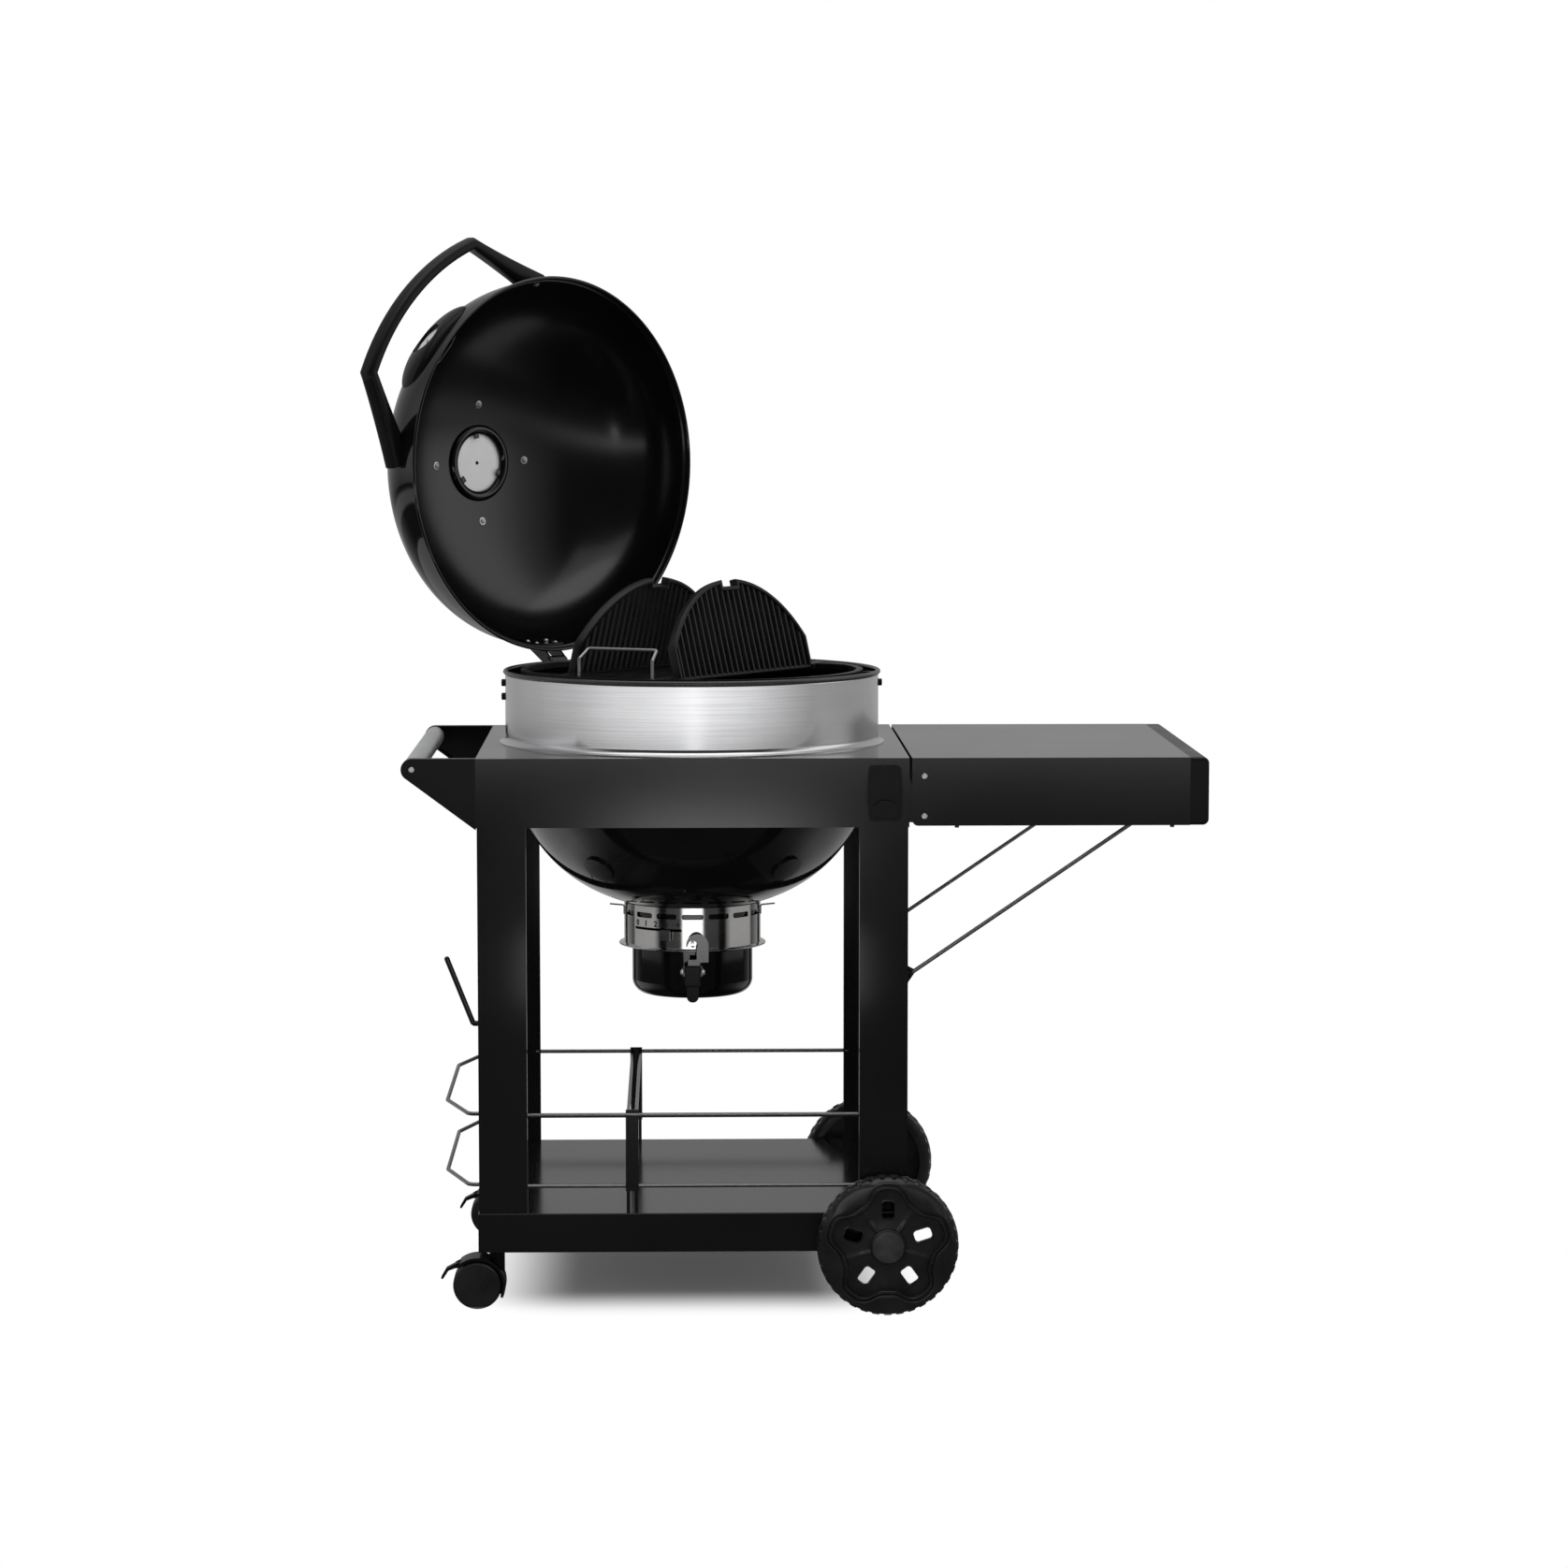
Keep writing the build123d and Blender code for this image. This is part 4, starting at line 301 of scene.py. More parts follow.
@dataclass
class Form:
    """Points and faces of one piece, collected before it becomes a mesh."""

    points: list[Array] = field(default_factory=list)
    faces: list[list[int]] = field(default_factory=list)
    marks: list[int] = field(default_factory=list)
    count: int = 0

    def add(self, points: Array, faces: Array, mark: int = 0) -> None:
        """Add a patch.

        Args:
            points: its points, one per row.
            faces: its faces as rows of point numbers.
            mark: which of the piece's finishes it takes.
        """
        self.points.append(np.asarray(points, float).reshape(-1, 3))
        self.faces.extend((np.asarray(faces, int) + self.count).tolist())
        self.marks.extend([mark] * len(faces))
        self.count += len(self.points[-1])

    def net(self, net: Array, round_u: bool = False, mark: int = 0) -> None:
        """Add a net whose last column joins its first, and whose last row does if round in u."""
        faces = cells(*net.shape[:2], round_u, True)
        self.add(net, faces.reshape(-1, 4), mark)

    def make(
        self,
        name: str,
        body: str,
        finishes: list[Finish],
        replaces: tuple[str, ...] = (),
        turn: Matrix | None = None,
        sharp: float = 35.0,
    ) -> None:
        """Turn the collected patches into one smooth, closed piece that rides on a body.

        Args:
            name: the piece's name.
            body: the body that it rides on.
            finishes: its finishes, in the order of its marks.
            replaces: nodes that it stands for.
            turn: a turn that puts it in place.
            sharp: edges that bend by more degrees than this stay crisp.
        """
        mesh = bpy.data.meshes.new(name)
        mesh.from_pydata(np.vstack(self.points).tolist(), [], self.faces)
        mesh.polygons.foreach_set("material_index", np.array(self.marks, dtype=np.int32))
        if turn is not None:
            mesh.transform(turn)
        work = bmesh.new()
        work.from_mesh(mesh)
        bmesh.ops.remove_doubles(work, verts=work.verts, dist=2e-6)
        bmesh.ops.dissolve_degenerate(work, edges=work.edges, dist=1e-7)
        bmesh.ops.recalc_face_normals(work, faces=work.faces)
        work.to_mesh(mesh)
        work.free()
        mesh.shade_smooth()
        mesh.set_sharp_from_angle(angle=math.radians(sharp))
        for finish in finishes:
            mesh.materials.append(finish.material())
        piece = placed(name, mesh)
        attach(piece, body)
        if replaces:
            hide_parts(*replaces)
        LOG.info("%s: %d faces on %s", name, len(mesh.polygons), body)


def cells(rows: int, cols: int, round_u: bool = False, round_v: bool = False) -> Array:
    """Number the four corners of every cell of a net.

    Args:
        rows: rows of points.
        cols: columns of points.
        round_u: whether the last row joins the first.
        round_v: whether the last column joins the first.

    Returns:
        Corner numbers with shape (cell rows, cell columns, 4).
    """
    i = np.arange(rows if round_u else rows - 1)[:, None]
    j = np.arange(cols if round_v else cols - 1)[None, :]
    i2, j2 = (i + 1) % rows, (j + 1) % cols
    corner = [i * cols + j, i * cols + j2, i2 * cols + j2, i2 * cols + j]
    return np.stack(np.broadcast_arrays(*corner), axis=-1)


def polar(angle: Array, radius: Array, height: Array) -> Array:
    """Points at an angle, a radius and a height about Z; the three broadcast together."""
    parts = (radius * np.cos(angle), radius * np.sin(angle), height)
    return np.stack(np.broadcast_arrays(*parts), axis=-1)


def spin(profile: Array, turns: int, axis: Array = ORIGIN) -> Array:
    """Swing a profile's radii and heights about an upright axis: one row for each pair."""
    angle = np.linspace(0, 2 * np.pi, turns, endpoint=False)[None, :]
    return polar(angle, profile[:, :1], profile[:, 1:]) + axis


def bead(
    centre: tuple[float, float], radius: float, start: float, stop: float, steps: int
) -> Array:
    """Points on an arc of a bead: centre plus radius times cosine and sine of degrees."""
    a = np.radians(np.linspace(start, stop, steps))
    return np.stack([centre[0] + radius * np.cos(a), centre[1] + radius * np.sin(a)], axis=-1)


def superellipse(radius: float, depth: float, fullness: float, steps: int) -> Array:
    """A quarter of a full, rounded curve: radius times cos to a power, depth times sin to a power.

    Args:
        radius: half width at its mouth.
        depth: how deep it is at the axis.
        fullness: 2 for an ellipse, more for a fuller curve.
        steps: how many points.

    Returns:
        Radius and depth pairs from the mouth to the axis.
    """
    a = np.linspace(0, np.pi / 2, steps)
    r = radius * np.clip(np.cos(a), 0, 1) ** (2 / fullness)
    return np.stack([r, depth * np.sin(a) ** (2 / fullness)], axis=-1)


def rounded_wave(angle: Array, power: float) -> tuple[Array, Array]:
    """Cosine and sine of an angle raised to two over a power, each with its sign kept."""
    cos, sin, share = np.cos(angle), np.sin(angle), 2 / power
    return np.sign(cos) * np.abs(cos) ** share, np.sign(sin) * np.abs(sin) ** share


def smooth(share: Array) -> Array:
    """A step from 0 to 1 that starts and ends level: three squares less two cubes."""
    share = np.clip(share, 0, 1)
    return share**2 * (3 - 2 * share)


def frames(path: Array, up: Array) -> tuple[Array, Array]:
    """Directions sideways from a path and across it, stretched at corners as a mitre is.

    At each point the section stands halfway between the runs that meet there. Sideways it grows
    by one over the cosine of half the corner's angle.

    Args:
        path: points, one per row.
        up: a direction the path never runs along.

    Returns:
        Sideways directions, longer than one at corners, and unit upward directions.
    """
    ahead = np.diff(path, axis=0)
    ahead /= np.linalg.norm(ahead, axis=1, keepdims=True)
    tangent = np.vstack([ahead[:1], ahead[:-1] + ahead[1:], ahead[-1:]])
    tangent /= np.linalg.norm(tangent, axis=1, keepdims=True)
    half_turn = (tangent[1:] * ahead).sum(1)
    stretch = 1 / np.clip(np.concatenate([[1.0], half_turn]), 0.4, 1)
    side = np.cross(tangent, up)
    side /= np.linalg.norm(side, axis=1, keepdims=True)
    return side * stretch[:, None], np.cross(side, tangent)


def carry(
    path: Array, width: Array | float, height: Array | float, power: float, sides: int, up: Array
) -> Array:
    """A rounded section carried along a path, drawn in to a point at each end.

    The section is a superellipse of changing width and height.

    Args:
        path: middle points of the section.
        width: its full width sideways, the same everywhere or one for each point.
        height: its full height, likewise.
        power: 2 for an oval, more for a squarer section.
        sides: points round the section.
        up: the section's upward direction.

    Returns:
        A net whose last column joins its first.
    """
    side, above = frames(path, up)
    x, y = rounded_wave(np.linspace(0, 2 * np.pi, sides, endpoint=False), power)
    wide, high = (np.broadcast_to(size, len(path))[:, None, None] / 2 for size in (width, height))
    net = path[:, None, :] + side[:, None, :] * (x[None, :, None] * wide)
    return closed_ends(net + above[:, None, :] * (y[None, :, None] * high))


def closed_ends(net: Array) -> Array:
    """Add a middle point, repeated, beyond each end of a net, so that the piece is closed.

    Args:
        net: a net whose last column joins its first.

    Returns:
        The same net with a first and a last row drawn in to a point.
    """
    first = np.broadcast_to(net[0].mean(axis=0), net[0].shape)[None]
    last = np.broadcast_to(net[-1].mean(axis=0), net[-1].shape)[None]
    return np.concatenate([first, net, last])


def pierced(outer: Array, inner: Array, holes: Array, form: Form) -> None:
    """Add a wall with openings: two skins, and a wall wherever a cell meets an opening.

    Args:
        outer: net of the outer skin, whose last column joins its first.
        inner: net of the inner skin, the same size.
        holes: true for each cell that is open, with one row fewer than the nets.
        form: the form that takes the faces.
    """
    rows, cols = outer.shape[:2]
    quads = cells(rows, cols, False, True)
    total = rows * cols
    solid = ~holes
    faces = [quads[solid], quads[solid][:, ::-1] + total]
    i, j = np.nonzero(solid != np.roll(solid, -1, axis=1))
    j2 = (j + 1) % cols
    upright = (i * cols + j2, (i + 1) * cols + j2)
    edge = np.zeros((1, cols), bool)
    padded = np.vstack([edge, solid, edge])
    i, j = np.nonzero(padded[:-1] != padded[1:])
    level = (i * cols + j, i * cols + (j + 1) % cols)
    faces += [np.stack([a, b, b + total, a + total], axis=-1) for a, b in (upright, level)]
    points = np.concatenate([outer.reshape(-1, 3), inner.reshape(-1, 3)])
    form.add(points, np.concatenate(faces))


def rounded_box(x: Array, y: Array, half_x: float, half_y: float, corner: float) -> Array:
    """Signed distance to a rounded rectangle about the origin, negative inside.

    Args:
        x: first coordinate.
        y: second coordinate.
        half_x: half of its length.
        half_y: half of its width.
        corner: radius of its corners.

    Returns:
        The distance at each point.
    """
    dx, dy = np.abs(x) - half_x + corner, np.abs(y) - half_y + corner
    outside = np.hypot(np.maximum(dx, 0), np.maximum(dy, 0))
    return outside + np.minimum(np.maximum(dx, dy), 0) - corner


def stroke(
    start: tuple[float, float], stop: tuple[float, float], turn: float, height: float
) -> Array:
    """A flat, tapered stroke out from Z.

    Args:
        start: where it starts, and half of its width there.
        stop: where it ends, and half of its width there.
        turn: its direction, in radians from X.
        height: how high it lies.

    Returns:
        Its four corners.
    """
    (near, wide), (far, narrow) = start, stop
    flat = np.array([[near, -wide], [far, -narrow], [far, narrow], [near, wide]])
    c, s = math.cos(turn), math.sin(turn)
    return np.column_stack([flat @ np.array([[c, s], [-s, c]]), np.full(4, height)])


def snapped(
    x: Array, y: Array, distance: Callable[[Array, Array], Array], reach: float
) -> tuple[Array, Array, Array]:
    """Cut an outline into a flat net and slide the points beside it onto the outline.

    Each point nearer than the reach moves against the gradient of the signed distance, by that
    distance. A cell is open when its middle lies inside the outline.

    Args:
        x: first coordinates of the net, whose last column joins its first.
        y: second coordinates.
        distance: function of x and y that gives the signed distance.
        reach: how far a point may slide.

    Returns:
        The moved coordinates and the open cells.
    """
    step = 1e-5
    beside = [np.roll(values, -1, 1) for values in (x, y)]
    middle = [
        (values[:-1] + values[1:] + after[:-1] + after[1:]) / 4
        for values, after in zip((x, y), beside)
    ]
    holes = distance(*middle) < 0
    here = distance(x, y)
    slope_x = (distance(x + step, y) - here) / step
    slope_y = (distance(x, y + step) - here) / step
    size = np.maximum(np.hypot(slope_x, slope_y), 1e-6)
    padded = np.pad(holes, ((1, 1), (0, 0))).astype(int)
    pair = padded[:-1] + padded[1:]
    touch = pair + np.roll(pair, 1, 1)
    slide = (touch > 0) & (touch < 4) & (np.abs(here) < reach)
    slide = slide * here / size**2
    return x - slide * slope_x, y - slide * slope_y, holes


def aimed(net: Array, at: Array, out: Array) -> Array:
    """Turn a net made about Z so that Z points another way, and set it down.

    Args:
        net: its points.
        at: where its origin goes.
        out: the direction its Z axis takes.

    Returns:
        The moved points.
    """
    out = np.asarray(out, float) / np.linalg.norm(out)
    side = np.cross(UP if abs(out[2]) < 0.9 else [0.0, 1, 0], out)
    side /= np.linalg.norm(side)
    return net @ np.stack([side, np.cross(out, side), out]) + at


def button(form: Form, at: Array, out: Array, radius: float, mark: int = 0) -> None:
    """Add a button-headed screw with its washer and a six-sided socket.

    Args:
        form: the form that takes it.
        at: middle of the washer's underside.
        out: the direction that it points.
        radius: radius of the head.
        mark: which of the piece's finishes it takes.
    """
    a = np.radians(np.linspace(8, 72, 7))
    crown = np.stack([np.cos(a), 0.14 + 0.62 * np.sin(a)], -1)
    top, washer, socket = crown[-1, 1], 1.45, 0.42
    profile = np.vstack([
        [[0.0, 0.0], [washer, 0.0], [washer, 0.12], [1.02, 0.16]],
        crown,
        [[socket * 1.12, top], [socket, top - 0.08], [socket * 0.96, top * 0.4], [0.0, top * 0.4]],
    ])
    form.net(aimed(spin(profile * radius, 24), at, out), mark=mark)


# ------------------------------------------------------------------ the model's own parts


class Dress(Enum):
    """The finish that each material slot of the record takes on the model's own parts."""

    CART_BLACK = ("cart_black", POWDER_BLACK)
    ENAMELLED = ("enamel", ENAMEL)
    COLLAR_STEEL = ("collar_steel", BRUSHED)
    BRIGHT_STEEL = ("bright_steel", POLISHED)
    SCREW_STEEL = ("screw_steel", ZINC)
    WIRE_NICKEL = ("wire", WIRE)
    IRON = ("iron", CAST_IRON)
    PLASTIC = ("plastic", MOULDED)
    WHEEL = ("wheel_plastic", WHEEL_PLASTIC)
    TUBE = ("tube_grey", TUBE_GREY)
    # the damper's metal takes the white painted reflection
    DAMPER = ("damper_steel", GLARE_PAINTED_DISC)
    STOPS = ("rubber", RUBBER)


def dress_model() -> None:
    """Give every part of the model the finish of its slot, and a few parts one of their own."""
    finishes = dict(member.value for member in Dress)
    slots = {part["node"]: part["material_slot"] for part in RECORD["subparts"]}
    # the lid's vent disc also takes the damper's white painted reflection
    own = {"latch_blade": LATCH_STEEL, "sweeper": LATCH_STEEL, "lid_vent_disc": GLARE_PAINTED_DISC}
    for name, node in frame["nodes"].items():
        node.data.materials.clear()
        node.data.materials.append(own.get(name, finishes[slots[name]]).material())
        LOG.info("%s dressed as %s", name, slots[name])


# ------------------------------------------------------------------ kettle


@dataclass
class Kettle:
    """The enamelled bowl and the brushed collar that drops it into the table."""

    radius: float = 284 * MM
    wall: float = 2 * MM
    depth: float = 276 * MM
    fullness: float = 2.3
    straight: float = 90 * MM
    vent_in: float = 34 * MM
    vent_out: float = 92 * MM
    vent_at: float = 30.0  # azimuth of the first of three vents
    vent_half: float = 18.0
    shaft_hole: float = 5.2 * MM
    collar_gap: float = 0.3 * MM
    collar_wall: float = 1.5 * MM
    collar_flare: float = 9 * MM
    collar_turns: int = 288
    turns: int = 240

    def skin(self, inset: float) -> Array:
        """Profile of one skin of the bowl, from its straight wall down to the shaft hole.

        The rounded part is a superellipse: radius and depth shrink by the inset together.

        Args:
            inset: how far inside the outer skin.

        Returns:
            Radii and heights.
        """
        radius, depth = self.radius - inset, self.depth - inset
        curve = superellipse(radius, depth, self.fullness, 90)
        keep = curve[:, 0] > self.vent_out + 2 * MM
        between = np.array([75, 60, 47]) * MM
        rest = np.array([self.vent_out, *between, self.vent_in, 18 * MM, self.shaft_hole])
        low = depth * (1 - (rest / radius) ** self.fullness) ** (1 / self.fullness)
        even = np.linspace(self.straight - 4 * MM, 0, 8)[:-1]
        wall = np.concatenate([[self.straight, self.straight - MM], even])
        straight = np.stack([np.full(len(wall), radius), -wall], -1)
        profile = np.vstack([straight, curve[keep], np.stack([rest, low], -1)])
        joint = RIM_TOP - RIM_ROLL - self.straight
        return np.stack([profile[:, 0], joint - profile[:, 1]], -1)

    def bowl(self) -> None:
        """Build the bowl: two skins with three vents low down, and the rolled rim above them."""
        form = Form()
        outer, inner = self.skin(0.0), self.skin(self.wall)
        cells_below = np.arange(len(outer) - 1) > len(outer) // 2
        sector = np.degrees(np.arange(self.turns) * 2 * np.pi / self.turns) % 120
        in_vent = (np.abs(sector - self.vent_at + 0.01) < self.vent_half)[None, :]
        radii = (outer[:-1, 0] + outer[1:, 0]) / 2
        in_band = cells_below & (radii > self.vent_in) & (radii < self.vent_out)
        skins = spin(outer, self.turns, KETTLE), spin(inner, self.turns, KETTLE)
        pierced(*skins, in_band[:, None] & in_vent, form)
        centre = (self.radius + RIM_ROLL - self.wall, RIM_TOP - RIM_ROLL)
        # the rolled rim, mark 1, takes the lighter grey painted sheen
        form.net(spin(bead(centre, RIM_ROLL, 0, 345, 24), self.turns, KETTLE), True, 1)
        form.make("bowl_shell", "cart", [ENAMEL, RIM_PAINTED_SHEEN], ("bowl",))

    def collar(self) -> None:
        """Build the collar: a short upright band that flares out on to the table."""
        low, high = corners("collar")
        inner = self.radius + self.collar_gap
        outer = inner + self.collar_wall
        knee = low[2] + self.collar_flare + self.collar_wall
        bend = (outer + self.collar_flare, knee)
        crease = np.array([0.4, 1.2, 3.0]) * MM
        profile = np.vstack([
            np.stack([np.full(3, outer), high[2] - crease], -1),
            [[outer, knee + 2 * MM], [outer, knee + 0.6 * MM]],
            bead(bend, self.collar_flare, 180, 270, 10),
            bead(bend, self.collar_flare + self.collar_wall, 270, 180, 10),
            [[inner, high[2]], [outer - crease[0], high[2]]],
        ])
        form = Form()
        form.net(spin(profile, self.collar_turns, KETTLE), True)
        form.make("collar_band", "cart", [BRUSHED], ("collar",), sharp=50)

    def build(self) -> None:
        """Build both."""
        self.bowl()
        self.collar()


# ------------------------------------------------------------------ ash catcher


@dataclass
class AshCatcher:
    """The polished ring under the bowl, with its air slots and the numbered damper scale."""

    radius: float = 105 * MM
    wall: float = 1.2 * MM
    flange: float = 8 * MM
    slots: int = 16
    slot_long: float = 33 * MM
    slot_high: float = 8.0 * MM
    slot_up: float = 52 * MM
    slot_corner: float = 3.2 * MM
    lever_up: float = 31.5 * MM
    lever_half: float = 2 * MM
    lever_from: float = 214.0
    lever_to: float = 261.0
    sleeve: float = 4 * MM  # from the ring to the dark sleeve inside it
    sleeve_wall: float = 1.5 * MM
    sleeve_up: float = 40 * MM
    stud_up: float = 11 * MM
    plate: tuple[float, float] = (19 * MM, 10.5 * MM)
    plate_drop: float = 11 * MM
    plate_back: float = 8 * MM
    numbers: int = 5
    number_high: float = 8.5 * MM
    number_up: float = 4.2 * MM
    columns: int = 624

    def __post_init__(self) -> None:
        """Read where the ring stands."""
        low, high = corners("ash_collar")
        self.bottom = low[2]
        self.height = float(high[2] - low[2])

    def outline(self, x: Array, y: Array) -> Array:
        """Distance to the nearest of the air slots and the lever's slot on the unrolled ring.

        Args:
            x: distance round the ring.
            y: height above its lower edge.

        Returns:
            The signed distance, negative inside a slot.
        """
        pitch = 2 * np.pi * self.radius / self.slots
        near = (x + pitch / 2) % pitch - pitch / 2
        half_long, half_high = self.slot_long / 2, self.slot_high / 2
        air = rounded_box(near, y - self.slot_up, half_long, half_high, self.slot_corner)
        start, stop = np.radians([self.lever_from, self.lever_to]) * self.radius
        middle, half = (start + stop) / 2, (stop - start) / 2
        size = (half, self.lever_half, self.lever_half - 0.1 * MM)
        return np.minimum(air, rounded_box(x - middle, y - self.lever_up, *size))

    def ring(self) -> None:
        """Build the ring: every slot's outline is cut into a fine net bent round the axis."""
        coarse = np.array([0.3, 6, 14, 22, 40, 60]) * MM
        slot_rows = self.slot_up + np.linspace(-5, 5, 19) * MM
        lever_rows = self.lever_up + np.linspace(-3.2, 3.2, 13) * MM
        level = np.sort(np.concatenate([coarse, [self.height], slot_rows, lever_rows]))
        angle = np.linspace(0, 2 * np.pi, self.columns, endpoint=False)
        arc, up = np.meshgrid(angle * self.radius, level)
        arc, up, holes = snapped(arc, up, self.outline, 0.7 * MM)
        form = Form()
        skins = [
            polar(arc / self.radius, radius, up + self.bottom) + KETTLE
            for radius in (self.radius, self.radius - self.wall)
        ]
        pierced(*skins, holes, form)
        inside, lip = self.radius - self.wall, 1.2 * MM
        flange = np.vstack([
            bead((self.radius + self.flange - lip, lip), lip, -90, 90, 8),
            [[self.radius + 3 * MM, 2.0 * MM], [self.radius, 3.2 * MM]],
            [[inside, 3.2 * MM], [inside, 0.0]],
        ])
        form.net(spin(flange + [0, self.bottom], 240, KETTLE), True)
        out, stem, head = self.radius / MM, 2.5, 3.3
        stud = [[0, -1], [stem, -1], [stem, 11.6], [head, 12.0], [head, 13.7], [0, 14.1]]
        stud = (np.array(stud) * [1, -1] - [0, out]) * MM
        pin = spin(stud, 24)[..., [0, 2, 1]]
        form.net(pin + KETTLE + [0, 0, self.bottom + self.stud_up])
        near, top = self.radius - self.sleeve, self.height - MM
        far = near - self.sleeve_wall
        sleeve = np.array([[near, self.sleeve_up], [near, top], [far, top], [far, self.sleeve_up]])
        form.net(spin(sleeve + [0, self.bottom], 160, KETTLE), True, 1)
        finishes = [POLISHED, ENAMEL]
        form.make("ash_ring", "cart", finishes, ("ash_collar",), sharp=50)

    def catch_plate(self) -> None:
        """Build the pan's bright catch plate behind the grip: an oval pad with a rounded edge."""
        low, high = corners("latch_grip")
        share = np.array([0, 0.5, 0.86, 0.97, 1.0, 1.0])[:, None]
        rise = np.array([0, 0, 0.2, 0.8, 1.8, 9.0])[:, None] * MM
        turn = np.linspace(0, 2 * np.pi, 72, endpoint=False)
        x = (low[0] + high[0]) / 2 + self.plate[0] * share * np.cos(turn)
        y = low[1] + self.plate_back + rise
        z = high[2] - self.plate_drop + self.plate[1] * share * np.sin(turn)
        form = Form()
        form.net(closed_ends(np.stack(np.broadcast_arrays(x, y, z), -1)))
        form.make("catch_plate", "ash_pan", [ZINC])

    def scale(self) -> None:
        """Set plain numbers from 0 above the lever's slot, bent to the ring."""
        form = Form()
        for number in range(self.numbers):
            share = (number + 0.35) / (self.numbers - 0.3)
            azimuth = math.radians(self.lever_from + (self.lever_to - self.lever_from) * share)
            points, faces = lettering(str(number), self.number_high)
            turn = azimuth + points[:, 0] / self.radius
            rise = self.bottom + self.lever_up + self.number_up + points[:, 1]
            form.add(polar(turn, self.radius + 0.3 * MM, rise) + KETTLE, faces)
        form.make("damper_numbers", "cart", [INK])

    def build(self) -> None:
        """Build the ring, the catch plate and the scale."""
        self.ring()
        self.catch_plate()
        self.scale()


def lettering(text: str, height: float) -> tuple[Array, Array]:
    """Make flat text a mesh.

    Args:
        text: the characters.
        height: height of a capital, in metres.

    Returns:
        Points of the text, centred on its width, and its triangles.
    """
    curve = bpy.data.curves.new("lettering", "FONT")
    curve.body = text
    curve.size = height / 0.7
    curve.align_x = "CENTER"
    curve.offset = height * 0.045
    holder = placed("lettering", curve)
    bpy.context.view_layer.update()
    shown = holder.evaluated_get(bpy.context.evaluated_depsgraph_get())
    mesh = bpy.data.meshes.new_from_object(shown)
    points = np.zeros(len(mesh.vertices) * 3)
    mesh.vertices.foreach_get("co", points)
    faces = np.array([polygon.vertices for polygon in mesh.polygons])
    bpy.data.objects.remove(holder)
    bpy.data.meshes.remove(mesh)
    bpy.data.curves.remove(curve)
    return points.reshape(-1, 3), faces


# ------------------------------------------------------------------ lid


